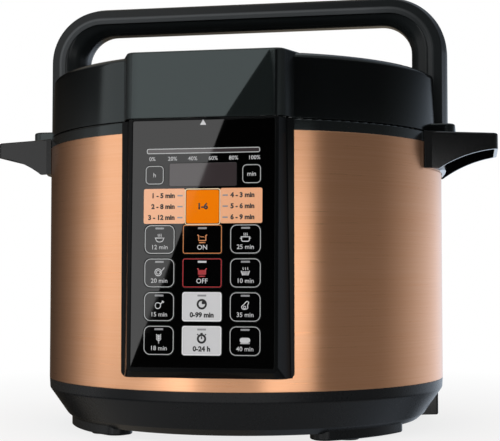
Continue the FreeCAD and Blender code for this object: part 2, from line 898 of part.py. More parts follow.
save("display_window", on_panel(tile(display_half - trim_gap, display_low + trim_gap, display_high - trim_gap,
                                     trim_corner, overlay_face, overlay_back)))
save("display_module", on_panel(tile(display_half - module_inset, display_low + module_inset,
                                     display_high - module_inset, module_corner,
                                     overlay_back + trim_gap, board_depth)))
save("status_bar", on_panel(tile(status_half - trim_gap, status_low + trim_gap, status_high - trim_gap,
                                 trim_corner, overlay_face, board_depth)))

board_back = board_depth + board_wall
board = tile(board_half, board_low, board_high, board_corner, board_depth, board_back)
board_screws = []
for x, height in board_holes:
    board = board.cut(pin(board_hole_radius, x, height, 0, cut_back))
    head = pin(board_head_radius, x, height, board_back, board_back + board_head_height)
    shank_tip = overlay_back + board_thread_floor + board_screw_gap
    shank = pin(board_shank_radius, x, height, shank_tip, board_back + weld)
    board_screws.append(on_panel(head.fuse(shank)))
save("control_board", on_panel(board))
save("board_screws", Part.makeCompound(board_screws))

# Outer vessel with bayonet teeth, standing on the tray's posts
flange_high = flange_low + flange_wall
vessel_outer_radius = vessel_inner_radius + vessel_wall
vessel_floor = vessel_low + vessel_wall
vessel = turned([
    (vessel_hole, vessel_low), (vessel_outer_radius, vessel_low, vessel_corner),
    (vessel_outer_radius, flange_low),
    (flange_radius, flange_low), (flange_radius, flange_high), (vessel_inner_radius, flange_high),
    (vessel_inner_radius, vessel_floor, vessel_corner - vessel_wall), (vessel_hole, vessel_floor),
])
tooth_pitch = 360.0 / tooth_count
teeth = []
for k in range(tooth_count):
    teeth.append(turned([(flange_radius - weld, flange_low), (flange_tooth_radius, flange_low),
                         (flange_tooth_radius, flange_high), (flange_radius - weld, flange_high)],
                        flange_tooth_angle, k * tooth_pitch - flange_tooth_angle / 2))
vessel = joined([vessel] + teeth)
for side in (-1, 1):
    x, y = polar(element_circle, side * element_gap_angle / 2)
    lead_hole = rod(terminal_radius + terminal_room, x, y, vessel_low - overcut, vessel_floor + overcut)
    vessel = vessel.cut(lead_hole)
save("outer_pot", vessel)

# Inner pot
pot_rim = flange_high + pot_wall
pot_outer_radius = pot_inner_radius + pot_wall
pot = turned([
    (0, pot_low), (pot_outer_radius, pot_low, pot_corner + pot_wall), (pot_outer_radius, flange_high),
    (pot_flange_radius, flange_high), (pot_flange_radius, pot_rim, pot_lip_round),
    (pot_inner_radius, pot_rim, pot_mouth_round),
    (pot_inner_radius, pot_low + pot_floor_wall, pot_corner), (0, pot_low + pot_floor_wall),
])
save("inner_pot", pot)

# Heating plate with its element, sensor, spring and holder
plate = turned([(heater_bore, heater_low), (heater_radius, heater_low),
                (heater_radius, pot_low, heater_edge_round), (heater_bore, pot_low)])
plate_parts = [plate]
for angle in (60, 180, 300):
    x, y = polar(heater_leg_circle, angle)
    plate_parts.append(rod(heater_leg_radius, x, y, vessel_floor, heater_low + weld))
plate = joined(plate_parts)
element_height = heater_low - element_drop
groove = Part.makeTorus(element_circle, element_tube + element_room, Vector(0, 0, element_height), UP)
plate = plate.cut(groove)
save("heating_plate", plate)

element_ring = Part.Face(Part.Wire(Part.makeCircle(element_tube, Vector(element_circle, 0, element_height),
                                                  Vector(0, 1, 0))))
element = element_ring.revolve(Vector(0, 0, 0), UP, 360.0 - element_gap_angle)
element.rotate(Vector(0, 0, 0), UP, element_gap_angle / 2)
element_parts = [element]
for side in (-1, 1):
    x, y = polar(element_circle, side * (element_gap_angle / 2 + terminal_lead_angle))
    element_parts.append(rod(terminal_radius, x, y, terminal_low, element_height))
save("heating_element", joined(element_parts))

sensor_low = heater_low - sensor_drop
sensor_step = heater_low - sensor_shoulder_drop
sensor_top = pot_low - sensor_gap
sensor = turned([(0, sensor_low), (sensor_flange_radius, sensor_low), (sensor_flange_radius, sensor_step),
                 (sensor_radius, sensor_step), (sensor_radius, sensor_top, sensor_round), (0, sensor_top)])
sensor = joined([sensor, rod(sensor_stem_radius, 0, 0, holder_low + sensor_stem_rise, sensor_low + weld)])
save("temperature_sensor", sensor)

holder = turned([(0, holder_low), (holder_radius, holder_low), (holder_radius, heater_low),
                 (holder_radius - holder_wall, heater_low),
                 (holder_radius - holder_wall, holder_low + holder_wall), (0, holder_low + holder_wall)])
save("sensor_holder", holder)

spring_low = holder_low + holder_wall + spring_wire
spring_length = sensor_low - holder_low - holder_wall - 2 * spring_wire
spring_pitch = spring_length / spring_turns
helix = Part.makeHelix(spring_pitch, spring_length, spring_radius)
helix.translate(Vector(0, 0, spring_low))
spring_slope = math.atan2(spring_pitch, 2 * math.pi * spring_radius)
spring_heading = Vector(0, math.cos(spring_slope), math.sin(spring_slope))
spring_end = Part.Wire(Part.makeCircle(spring_wire, Vector(spring_radius, 0, spring_low), spring_heading))
spring = Part.Wire(helix.Edges).makePipeShell([spring_end], True, False)
print("sensor spring least self gap", round(spring_pitch * math.cos(spring_slope) - 2 * spring_wire, 3))
save("sensor_spring", spring)

# Pressure switch and thermal fuse under the vessel, shield, power board
pressure_low = vessel_low - pressure_height
pressure_body = block(-pressure_half, pressure_half, pressure_front, pressure_back, pressure_low, vessel_low)
pressure_foot = block(-pressure_foot_half, pressure_foot_half, pressure_front + pressure_foot_inset,
                      pressure_back - pressure_foot_inset, shield_height + shield_wall,
                      pressure_low + pressure_foot_lap)
save("pressure_switch", joined([pressure_body, pressure_foot]))
fuse_start = Vector(-fuse_length / 2, fuse_y, vessel_low - fuse_drop)
fuse = Part.makeCylinder(fuse_radius, fuse_length, fuse_start, Vector(1, 0, 0))
clip = block(-clip_half_width, clip_half_width, fuse_y - clip_half_depth, fuse_y + clip_half_depth,
             vessel_low - clip_height, vessel_low)
save("thermal_fuse", joined([fuse, clip]))

shield = rod(shield_radius, 0, 0, shield_height, shield_height + shield_wall)
shield = shield.cut(rod(shield_hole, 0, 0, 0, skyward))
for angle in post_angles:
    x, y = polar(post_circle, angle)
    shield = shield.cut(rod(post_radius + fit_gap, x, y, 0, skyward))
for side in (-1, 1):
    x, y = polar(element_circle, side * (element_gap_angle / 2 + terminal_lead_angle))
    shield = shield.cut(rod(terminal_radius + terminal_room, x, y, 0, skyward))
inlet_room = block(inlet_root - shield_inlet_back, body_radius, -inlet_half - shield_inlet_side,
                   inlet_half + shield_inlet_side, 0, skyward)
shield = shield.cut(around(inlet_room, inlet_turn))
save("heat_shield", shield)

power_top = power_board_low + power_board_wall
power_board = block(-power_board_half, power_board_half, power_board_front, power_board_back,
                    power_board_low, power_top)
for x, y in board_posts:
    power_board = power_board.cut(rod(board_hole_radius, x, y, 0, skyward))
power_parts = [
    power_board,
    block(relay_left, relay_right, power_board_front + relay_front_gap, power_board_back - relay_back_gap,
          power_top - weld, power_top + relay_height),
    block(transformer_left, transformer_right, power_board_front + transformer_front_gap,
          power_board_back - transformer_back_gap, power_top - weld, power_top + transformer_height),
]
for x, gap in capacitor_places:
    power_parts.append(rod(capacitor_radius, x, power_board_back - gap, power_top - weld,
                           power_top + capacitor_height))
save("power_board", joined(power_parts))
power_screws = []
for x, y in board_posts:
    head = rod(board_head_radius, x, y, power_top, power_top + board_head_height)
    shank = rod(board_shank_radius, x, y, floor_high + board_screw_gap, power_top + weld)
    power_screws.append(head.fuse(shank))
save("power_board_screws", Part.makeCompound(power_screws))

# Mains inlet in the base's right flank, with three blades in its socket
inlet_middle = (inlet_low + inlet_high) / 2
inlet = block(inlet_root, inlet_face, -inlet_half, inlet_half, inlet_low, inlet_high)
inlet = rounded(inlet, inlet_round, lambda edge: edge.CenterOfMass.x > inlet_face - 0.01
                or abs(edge.CenterOfMass.z - inlet_low) < 0.01 and abs(edge.CenterOfMass.y) < 0.01)
socket_roof = socket_half_width - socket_chamfer
socket_corners = [(-socket_half_width, -socket_half_height), (socket_half_width, -socket_half_height),
                  (socket_half_width, socket_shoulder), (socket_roof, socket_half_height),
                  (-socket_roof, socket_half_height), (-socket_half_width, socket_shoulder)]
socket_points = [(y, z, socket_corner) for y, z in socket_corners]
socket_wire = rounded_wire(socket_points, lambda y, z: Vector(inlet_face - socket_depth, y, inlet_middle + z))
inlet = inlet.cut(Part.Face(socket_wire).extrude(Vector(beyond, 0, 0)))
blades = []
blade_tip = inlet_face - socket_depth + blade_length
slot_half = blade_half_width + blade_room
slot_tall = blade_half_height + blade_room
for across, rise in blade_places:
    z = inlet_middle + rise
    slot = block(inlet_root - overcut, inlet_face, across - slot_half, across + slot_half,
                 z - slot_tall, z + slot_tall)
    inlet = inlet.cut(slot)
    blade = block(inlet_root - blade_tail, blade_tip, across - blade_half_width, across + blade_half_width,
                  z - blade_half_height, z + blade_half_height)
    blades.append(around(blade, inlet_turn))
save("mains_inlet", around(inlet, inlet_turn))
save("inlet_blades", Part.makeCompound(blades))

# Lid cover: turned shell with a front box, two ears and leg recesses
lid_low = seam_height + lid_gap


def lid_turned(inset):
    """Round body of the lid, shrunk by inset; its top falls in an arc from a flat middle."""
    low_radius = lid_low_radius - inset
    top_radius = lid_top_radius - inset
    edge_height = lid_edge_height - inset
    turn = lid_edge_round if inset == 0 else lid_inner_round
    bottom = lid_low if inset == 0 else lid_low - lid_undercut
    wall_foot = Vector(low_radius, 0, bottom)
    wall_head = Vector(top_radius, 0, edge_height - turn)
    short = turn * (1 - math.sqrt(0.5))
    bend = Vector(top_radius - short, 0, edge_height - short)
    rim = Vector(top_radius - turn, 0, edge_height)
    flat = Vector(lid_flat_radius, 0, edge_height + dome_rise)
    run = rim.x - flat.x
    bow = (run * run + dome_rise * dome_rise) / (2 * dome_rise)
    lean = math.asin(run / bow) / 2
    half_way = Vector(flat.x + bow * math.sin(lean), 0, flat.z - bow * (1 - math.cos(lean)))
    edges = [
        Part.makeLine(Vector(0, 0, bottom), wall_foot),
        Part.makeLine(wall_foot, wall_head),
        Part.Arc(wall_head, bend, rim).toShape(),
        Part.Arc(rim, half_way, flat).toShape(),
        Part.makeLine(flat, Vector(0, 0, flat.z)),
        Part.makeLine(Vector(0, 0, flat.z), Vector(0, 0, bottom)),
    ]
    return Part.Face(Part.Wire(edges)).revolve(Vector(0, 0, 0), UP, 360)


def lid_box(inset):
    """Front box, its face in the panel's plane and its sides drafted like the panel housing."""
    half = lid_box_half - inset
    corner = lid_box_corner - inset
    spread = panel_draft * lid_box_depth
    low = lid_low if inset == 0 else lid_low - lid_undercut
    plan = rounded_wire([(-half, inset, corner), (half, inset, corner),
                         (half + spread, lid_box_depth), (-half - spread, lid_box_depth)],
                        lambda x, y: Vector(x, y, 0))
    form = on_panel(Part.Face(plan).extrude(Vector(0, 0, skyward)))
    form = form.common(block(-beyond, beyond, -beyond, 0, low, lid_box_top - inset))
    if inset == 0:
        form = rounded(form, lid_box_round, lambda edge: edge.CenterOfMass.z > lid_box_top - 0.01
                       and edge.CenterOfMass.y < lid_edge_round - lid_top_radius)
    return form.cut(rod(lid_top_radius - lid_edge_round - lid_box_lap - inset, 0, 0, 0, skyward))


def ear():
    reach = body_radius + ear_length
    form = slab([(ear_root, -ear_half), (reach, -ear_half, ear_corner), (reach, ear_half, ear_corner),
                 (ear_root, ear_half)], ear_low, ear_top)
    return rounded(form, ear_round, lambda edge: edge.CenterOfMass.x > ear_root + ear_round
                   and edge.CenterOfMass.z > ear_top - 0.01)


right_ear = ear()
left_ear = mirrored(right_ear)
outer_form = joined([lid_turned(0.0), lid_box(0.0)])
inner_form = lid_turned(lid_wall).fuse(lid_box(lid_wall))
for side in (-1, 1):
    low_x = recess_x if side > 0 else -beyond
    high_x = beyond if side > 0 else -recess_x
    outer_form = outer_form.cut(block(low_x, high_x, -recess_half, recess_half, ear_top, skyward))
    low_x = recess_x - lid_wall if side > 0 else -beyond
    high_x = beyond if side > 0 else -recess_x + lid_wall
    kept_half = recess_half + lid_wall
    inner_form = inner_form.cut(block(low_x, high_x, -kept_half, kept_half, 0, skyward))
outer_form = outer_form.cut(rod(well_radius, 0, pipe_y, well_floor, skyward))
inner_form = inner_form.cut(rod(well_radius + well_wall, 0, pipe_y, well_floor - well_wall, skyward))
lid_cover = outer_form.cut(inner_form)
plate_top = plate_crown + plate_wall
bosses = []
boss_places = [polar(lid_boss_circle, 45 + 90 * k) for k in range(4)]
for x, y in boss_places:
    bosses.append(rod(lid_boss_radius, x, y, plate_top, lid_crown - lid_wall + weld))
lid_cover = joined([lid_cover, right_ear, left_ear] + bosses)
for x, y in boss_places:
    lid_cover = lid_cover.cut(rod(screw_hole, x, y, plate_top - overcut, plate_top + lid_boss_depth))
lid_cover = lid_cover.cut(rod(pipe_radius + pipe_room, 0, pipe_y, plate_top, well_floor + overcut))
lid_cover = lid_cover.cut(rod(float_radius + float_room, float_x, float_y, plate_top, skyward))
leg_screw_x = body_radius - leg_screw_inset
leg_screw_places = [(side * leg_screw_x, half * leg_screw_half) for side in (-1, 1) for half in (-1, 1)]
for x, y in leg_screw_places:
    lid_cover = lid_cover.cut(rod(leg_screw_room, x, y, ear_low - overcut, ear_top + overcut))
    lid_cover = lid_cover.cut(rod(leg_head_room, x, y, ear_low - overcut, ear_low + leg_screw_head))
save("lid_cover", lid_cover)

# Closing ring under the lid's hollow edge
lid_ring = turned([(ring_inner_radius, lid_ring_low), (lid_low_radius - lid_wall - fit_gap, lid_ring_low),
                   (lid_low_radius - lid_wall - fit_gap, lid_ring_low + lid_ring_wall),
                   (ring_inner_radius, lid_ring_low + lid_ring_wall)])
for low_x, high_x in ((ear_root - fit_gap, beyond), (-beyond, fit_gap - ear_root)):
    lid_ring = lid_ring.cut(block(low_x, high_x, -lid_ring_break, lid_ring_break, 0, skyward))
save("lid_closing_ring", lid_ring)

# Pressure lid plate with bayonet teeth
skirt_outer = plate_skirt_inner + plate_wall
plate_outer_round = plate_inner_round + plate_wall
plate_profile = [
    (0, plate_crown), (plate_crown_radius - plate_lean, plate_crown, plate_inner_round),
    (plate_shoulder_radius, plate_shoulder, plate_inner_round),
    (plate_skirt_inner, plate_shoulder, plate_skirt_round), (plate_skirt_inner, plate_skirt_low),
    (skirt_outer, plate_skirt_low),
    (skirt_outer, plate_shoulder + plate_wall, plate_skirt_round + plate_wall),
    (plate_shoulder_radius + plate_lean, plate_shoulder + plate_wall, plate_outer_round),
    (plate_crown_radius, plate_top, plate_outer_round), (0, plate_top),
]
lid_plate = turned(plate_profile)
lid_teeth = []
for k in range(tooth_count):
    lid_teeth.append(turned([(lid_tooth_inner, plate_skirt_low), (plate_skirt_inner + weld, plate_skirt_low),
                             (plate_skirt_inner + weld, plate_skirt_low + lid_tooth_wall),
                             (lid_tooth_inner, plate_skirt_low + lid_tooth_wall)],
                            lid_tooth_angle, k * tooth_pitch - lid_tooth_angle / 2))
lid_plate = joined([lid_plate] + lid_teeth)
for x, y in boss_places:
    lid_plate = lid_plate.cut(rod(screw_hole, x, y, plate_crown - overcut, plate_top + overcut))
lid_plate = lid_plate.cut(rod(pipe_radius + fit_gap, 0, pipe_y, plate_crown - overcut, plate_top + overcut))
lid_plate = lid_plate.cut(rod(float_radius + float_plate_room, float_x, float_y, plate_crown - overcut,
                              plate_top + overcut))
save("lid_plate", lid_plate)

lid_screws = []
for x, y in boss_places:
    head = rod(lid_head_radius, x, y, plate_crown - lid_head_height, plate_crown)
    shank = rod(screw_shank, x, y, plate_crown - weld, plate_top + lid_screw_length)
    lid_screws.append(head.fuse(shank))
save("lid_screws", Part.makeCompound(lid_screws))

# Sealing ring and the steel rack that holds it
seal_low = pot_rim + fit_gap
seal_high = plate_shoulder - seal_headroom
seal_groove_radius = seal_inner + seal_groove_depth
seal = turned([
    (seal_inner, seal_low, seal_round), (seal_outer, seal_low, seal_round),
    (seal_outer, seal_high, seal_back_round), (seal_inner, seal_high, seal_round),
    (seal_inner, seal_groove_high), (seal_groove_radius, seal_groove_high),
    (seal_groove_radius, seal_groove_low), (seal_inner, seal_groove_low),
])
save("sealing_ring", seal)
rack_low = seal_groove_low + rack_gap
rack_high = seal_groove_high - rack_gap
rack_outer = seal_groove_radius - fit_gap
rack_corners = [(rack_inner, rack_low), (rack_outer, rack_low), (rack_outer, rack_high),
                (rack_inner, rack_high)]
save("seal_rack", turned([(radius, height, rack_round) for radius, height in rack_corners]))

# Exhaust pipe, its nut and the blockage cap under the plate
pipe = rod(pipe_radius, 0, pipe_y, pipe_low, pipe_top)
collar = rod(pipe_collar_radius, 0, pipe_y, plate_crown - pipe_collar_height, plate_crown)
pipe = joined([pipe, collar])
pipe = pipe.cut(rod(pipe_bore, 0, pipe_y, pipe_low - overcut, pipe_top + overcut))
save("exhaust_pipe", pipe)
nut = slab([polar(nut_radius, 60 * k) for k in range(6)], plate_top, plate_top + nut_height)
nut = nut.cut(rod(pipe_radius + thread_gap, 0, 0, 0, skyward))
nut.translate(Vector(0, pipe_y, 0))
save("pipe_nut", nut)
cap = rod(cap_radius, 0, 0, cap_low, plate_crown)
cap = rounded(cap, cap_round, lambda edge: edge.CenterOfMass.z < cap_low + 0.1)
cap = cap.cut(rod(cap_radius - cap_wall, 0, 0, cap_low + cap_wall, plate_crown + overcut))
for k in range(cap_slot_count):
    slot = block(cap_slot_start, 2 * cap_radius, -cap_slot_half, cap_slot_half, cap_low + cap_slot_rise,
                 plate_crown - cap_slot_drop)
    cap = cap.cut(around(slot, 360 / cap_slot_count * k))
cap.translate(Vector(0, pipe_y, 0))
save("blockage_cap", cap)

# Pressure regulator on the pipe and the float valve with its seal
regulator_low = well_floor + regulator_gap
knob = turned([(0, regulator_low), (regulator_radius - regulator_taper, regulator_low, regulator_round),
               (regulator_radius, regulator_top), (0, regulator_top)])
lever_top = regulator_top + lever_rise
lever = slab([(-lever_tail, -lever_tail_half, lever_tail_round),
              (lever_reach, -lever_tip_half, lever_tip_round),
              (lever_reach, lever_tip_half, lever_tip_round),
              (-lever_tail, lever_tail_half, lever_tail_round)],
             regulator_top - weld, lever_top)
lever = rounded(lever, lever_edge_round, lambda edge: edge.CenterOfMass.z > lever_top - 0.1)
regulator = joined([knob, lever])
regulator_bore = rod(pipe_radius + regulator_bore_room, 0, 0, regulator_low - overcut, pipe_top + overcut)
regulator = regulator.cut(regulator_bore)
regulator.translate(Vector(0, pipe_y, 0))
save("pressure_regulator", regulator)

float_head_low = plate_crown - fit_gap - float_rise - float_head_gap
float_head_top = float_head_low + float_head_height
collar_low = plate_top + fit_gap
float_valve = joined([
    rod(float_radius, float_x, float_y, float_head_low, float_top),
    rod(float_head_radius, float_x, float_y, float_head_low, float_head_top),
    rod(float_collar_radius, float_x, float_y, collar_low, collar_low + float_collar_height),
])
save("float_valve", float_valve)
seal_washer = rod(float_seal_radius, float_x, float_y, float_head_top, float_head_top + float_seal_height)
seal_washer = seal_washer.cut(rod(float_radius + thread_gap, float_x, float_y, 0, skyward))
save("float_seal", seal_washer)

# Carry handle: flat-faced arch with a rounded belly, standing on the lid's ears
plate_section = [
    (-arch_half, 3.6, 1.2), (-9.0, 0.0, 26.0), (9.0, 0.0, 26.0), (arch_half, 3.6, 1.2),
    (arch_half, 10.7, 0.7), (arch_half - 1.6, 13.2, 0.5),
    (1.6 - arch_half, 13.2, 0.5), (-arch_half, 10.7, 0.7),
]
belly_half = arch_half - 2.0
belly_section = [
    (-belly_half, 11.0), (belly_half, 11.0), (belly_half, 15.0, 3.0), (14.5, 21.8, 8.0),
    (6.0, arch_depth, 12.0), (-6.0, arch_depth, 12.0), (-14.5, 21.8, 8.0), (-belly_half, 15.0, 3.0),
]


def arch(section, outer_corner, top):
    """Sweeps a (across, depth) section up one leg, round a corner, along the top and down again."""
    centre_x = arch_reach - outer_corner
    centre_z = top - outer_corner
    leg_face = Part.Face(rounded_wire(section, lambda w, t: Vector(arch_reach - t, w, ear_top)))
    leg = leg_face.extrude(Vector(0, 0, centre_z - ear_top))
    knee_face = Part.Face(rounded_wire(section, lambda w, t: Vector(arch_reach - t, w, centre_z)))
    knee = knee_face.revolve(Vector(centre_x, 0, centre_z), Vector(0, -1, 0), 90)
    bar_face = Part.Face(rounded_wire(section, lambda w, t: Vector(-centre_x, w, top - t)))
    bar = bar_face.extrude(Vector(2 * centre_x, 0, 0))
    return joined([bar, knee, leg, mirrored(knee), mirrored(leg)])


plate_arch = arch(plate_section, arch_corner, arch_top)
belly_arch = arch(belly_section, arch_inner_corner + arch_depth, belly_top)
carry_handle = joined([plate_arch, belly_arch])
for low_x, high_x in ((leg_inner - arch_depth, leg_inner), (-leg_inner, arch_depth - leg_inner)):
    step = block(low_x, high_x, -2 * arch_half, 2 * arch_half, ear_top - overcut, leg_step)
    carry_handle = carry_handle.cut(step)
leg_screws = []
for x, y in leg_screw_places:
    bore = rod(screw_hole, x, y, ear_top - overcut, ear_top + leg_screw_length + overcut)
    carry_handle = carry_handle.cut(bore)
    head = rod(leg_head_radius, x, y, ear_low + fit_gap, ear_low + leg_screw_head)
    shank = rod(screw_shank, x, y, ear_low + leg_screw_head - weld, ear_top + leg_screw_length)
    leg_screws.append(head.fuse(shank))
save("carry_handle", carry_handle)
save("carry_handle_screws", Part.makeCompound(leg_screws))
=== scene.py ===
# %% [markdown]
# This lesson dresses an electric pressure cooker. Its solids come from a imported CAD model,
# and they already have the right sizes and the right shapes, so nothing is moved or resized here.
# What is left for Blender is the finish of every piece, the print on the control panel,
# one spring wound again as a piece of its own, and the studio around it all: floor, lights and
# camera.

# %% The imported model
import json
import math

import bpy
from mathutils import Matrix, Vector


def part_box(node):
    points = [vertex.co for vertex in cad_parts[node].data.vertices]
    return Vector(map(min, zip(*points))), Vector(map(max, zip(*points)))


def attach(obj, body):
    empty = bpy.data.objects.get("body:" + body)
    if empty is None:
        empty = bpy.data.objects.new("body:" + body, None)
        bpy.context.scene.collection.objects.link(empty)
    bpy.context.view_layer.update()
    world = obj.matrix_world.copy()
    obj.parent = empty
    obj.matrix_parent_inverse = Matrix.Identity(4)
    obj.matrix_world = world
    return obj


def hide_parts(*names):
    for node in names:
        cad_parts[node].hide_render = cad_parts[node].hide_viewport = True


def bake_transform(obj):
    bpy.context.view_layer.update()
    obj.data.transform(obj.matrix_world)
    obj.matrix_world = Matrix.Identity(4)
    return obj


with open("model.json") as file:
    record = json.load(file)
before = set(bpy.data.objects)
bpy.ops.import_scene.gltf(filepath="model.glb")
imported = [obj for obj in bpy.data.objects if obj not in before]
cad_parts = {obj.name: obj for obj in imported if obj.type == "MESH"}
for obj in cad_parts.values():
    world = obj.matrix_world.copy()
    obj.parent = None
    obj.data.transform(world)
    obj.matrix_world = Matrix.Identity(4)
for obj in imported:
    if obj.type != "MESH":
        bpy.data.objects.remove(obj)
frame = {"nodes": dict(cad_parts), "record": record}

scene = bpy.context.scene
nodes = frame["nodes"]
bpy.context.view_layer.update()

# %% [markdown]
# The camera stands where the photographer stood: a little below the middle of the cooker,
# 11 degrees to its right, close enough that the far handle looks smaller than the near one.
# The lens is worked out from a focal length in pixels, because the picture is 500 pixels wide.

# %% Camera
camera_distance = 0.8936
camera_side = math.radians(10.82)
camera_height = 0.1083
camera_tilt = math.radians(92.652)
camera_turn = math.radians(10.648)
focal_pixels = 1189.1
picture_width = 500
sensor_width = 36

bpy.ops.object.camera_add(
    location=(camera_distance * math.sin(camera_side),
              -camera_distance * math.cos(camera_side),
              camera_height),
    rotation=(camera_tilt, 0, camera_turn))
camera = bpy.context.object
camera.name = "camera"
camera.data.sensor_fit = "HORIZONTAL"
camera.data.sensor_width = sensor_width
camera.data.lens = focal_pixels / picture_width * sensor_width
camera.data.clip_start = 0.01
scene.camera = camera
scene.view_settings.view_transform = "Standard"
print("lens:", round(camera.data.lens, 2), "mm")

# %% [markdown]
# Every finish below is a small network of shader nodes. Wiring those by hand in code is long,
# so one class wraps a socket: plus, minus and times on it add Math nodes,
# and its node method adds any other node. A pattern then reads like a formula.

# %% A socket that does arithmetic
class Wire:
    def __init__(self, socket):
        self.socket = socket
        self.tree = socket.id_data

    def node(self, kind, settings, inputs, out=0):
        made = self.tree.nodes.new(kind)
        for name, value in settings.items():
            if name == "stops":
                ramp = made.color_ramp
                while len(ramp.elements) < len(value):
                    ramp.elements.new(0.5)
                for element, (place, grey) in zip(ramp.elements, value):
                    element.position = place
                    element.color = (grey, grey, grey, 1)
            else:
                setattr(made, name, value)
        for name, value in inputs.items():
            if isinstance(value, Wire):
                self.tree.links.new(value.socket, made.inputs[name])
            else:
                made.inputs[name].default_value = value
        return Wire(made.outputs[out])

    def maths(self, operation, first, second=0.0):
        return self.node("ShaderNodeMath", {"operation": operation}, {0: first, 1: second})

    def __add__(self, other):
        return self.maths("ADD", self, other)

    def __radd__(self, other):
        return self.maths("ADD", other, self)

    def __sub__(self, other):
        return self.maths("SUBTRACT", self, other)

    def __rsub__(self, other):
        return self.maths("SUBTRACT", other, self)

    def __mul__(self, other):
        return self.maths("MULTIPLY", self, other)

    def __rmul__(self, other):
        return self.maths("MULTIPLY", other, self)

    def __pow__(self, other):
        return self.maths("POWER", self, other)

    def noise(self, scale, detail=2.0, rough=0.5):
        return self.node("ShaderNodeTexNoise", {}, {
            "Vector": self, "Scale": scale, "Detail": detail, "Roughness": rough})

    def stretch(self, x, y, z):
        return self.node("ShaderNodeVectorMath", {"operation": "MULTIPLY"},
                         {0: self, 1: (x, y, z)})

    def steps(self, *stops):
        return self.node("ShaderNodeValToRGB", {"stops": stops}, {"Fac": self})

    def tint(self, low, high):
        return self.node("ShaderNodeMix", {"data_type": "RGBA"},
                         {0: self, 6: (*low, 1), 7: (*high, 1)}, out=2)

    def part(self, axis):
        return self.node("ShaderNodeSeparateXYZ", {}, {0: self}, out="XYZ".index(axis))


# %% [markdown]
# A finish starts as the standard surface shader with its plain numbers set on its own sockets.
# What varies over the surface is wired in afterwards: colour, roughness and relief.
# The relief also rounds hard edges a little, as every moulded or pressed edge is round,
# and that thin round edge is what catches the light on a black appliance.

# %% A finish and its relief
finishes = {}


def new_finish(name, **numbers):
    material = bpy.data.materials.new(name)
    finishes[name] = material
    material.use_nodes = True
    shader = material.node_tree.nodes["Principled BSDF"]
    for socket, value in numbers.items():
        shader.inputs[socket.replace("_", " ")].default_value = value
    place = material.node_tree.nodes.new("ShaderNodeTexCoord")
    return material, shader, Wire(place.outputs["Object"])


def feed(shader, socket, wire):
    wire.tree.links.new(wire.socket, shader.inputs[socket])


def relief(shader, height, depth, strength=0.3, edge=0.0006):
    soft_edge = height.node("ShaderNodeBevel", {"samples": 4}, {"Radius": edge})
    bump = height.node("ShaderNodeBump", {}, {
        "Strength": strength, "Distance": depth, "Height": height, "Normal": soft_edge})
    feed(shader, "Normal", bump)


# %% [markdown]
# The base and most handles are moulded black plastic. A mould is spark eroded to a fine grain,
# so the finish is noise of several sizes: a grain that breaks up the highlight, and slow patches
# that make the gloss wander as it does where hands have wiped it.

# %% Black mouldings
patch_scale = 14
smear_scale = 420
mould_grain = 2600
mould_depth = 0.00003


def moulded(name, low, high, gloss, patch, depth=mould_depth, grain_scale=mould_grain, shine=0.5):
    material, shader, place = new_finish(name, Specular_IOR_Level=shine)
    patches = place.noise(patch_scale, 3)
    smears = place.noise(smear_scale)
    feed(shader, "Base Color", patches.tint(low, high))
    feed(shader, "Roughness", gloss + patch * (patches - 0.5) + 0.05 * (smears - 0.5))
    relief(shader, place.noise(grain_scale, 2), depth)
    return material


black_plastic = moulded("black_plastic", (0.0022, 0.0025, 0.0027), (0.0036, 0.0040, 0.0043),
                        gloss=0.13, patch=0.06, shine=0.42)
panel_grey = moulded("panel_grey", (0.0022, 0.0026, 0.0028), (0.0036, 0.0041, 0.0044),
                     gloss=0.16, patch=0.06, shine=0.08)
base_black = moulded("base_black", (0.0056, 0.0064, 0.0074), (0.0077, 0.0085, 0.0096),
                     gloss=0.27, patch=0.10, shine=0.24)
component_black = moulded("component_black", (0.012, 0.012, 0.012), (0.020, 0.020, 0.020),
                          gloss=0.5, patch=0.1, depth=0.00005)
print("mouldings:", black_plastic.name, panel_grey.name, base_black.name, component_black.name)

# %% [markdown]
# The lid is a glossier moulding, and the front of its box is polished like the panel below it
# and painted a dark teal, a painted sheen.
# A mask in object coordinates picks that front out: far enough forward, and between the box's
# two corners. A second mask finds the sides of the box, which are dull. The box also bows back
# towards its top, by a little over half a millimetre, which bends what it mirrors.

# %% Lid gloss
teal_shine = (0.84, 0.99, 1.0, 1.0)
lid_black = (0.0022, 0.0025, 0.0027)
# painted sheen: the dark teal given to the polished front of the box
box_painted_sheen = (0.0095, 0.0122, 0.0120)
lid_gloss = 0.14
lid_patch = 0.06
side_dulling = 0.66
mirror_gloss = 0.018
seam_level = 0.2088
lid_height = 0.043
bow_mm = 0.62
grain_mm = 0.01

gloss_black, lid_shader, lid_place = new_finish(
    "gloss_black", Specular_IOR_Level=0.5, Specular_Tint=teal_shine)
lid_patches = lid_place.noise(patch_scale, 3)
across = lid_place.maths("ABSOLUTE", lid_place.part("X"))
forward = 0 - lid_place.part("Y")
polish_and_sheen = (forward.steps((0.1425, 0.0), (0.1435, 1.0))
            * across.steps((0.0452, 1.0), (0.0462, 0.0)))
box_side = (forward.steps((0.1405, 0.0), (0.1415, 1.0))
            * across.steps((0.0468, 0.0), (0.0478, 1.0)))
unpolished = lid_gloss + lid_patch * (lid_patches - 0.5) + side_dulling * box_side
bow = ((lid_place.part("Z") - seam_level) * (1 / lid_height)) ** 2
lid_grain = grain_mm * lid_place.noise(mould_grain, 2) * (1 - polish_and_sheen)
# painted sheen: the polished front of the box is tinted teal, the rest of the lid stays black
feed(lid_shader, "Base Color", polish_and_sheen.tint(lid_black, box_painted_sheen))
feed(lid_shader, "Roughness", unpolished * (1 - polish_and_sheen) + mirror_gloss * polish_and_sheen)
relief(lid_shader, lid_grain - bow_mm * bow, depth=0.001, strength=1.0)
print("lid finish:", gloss_black.name)
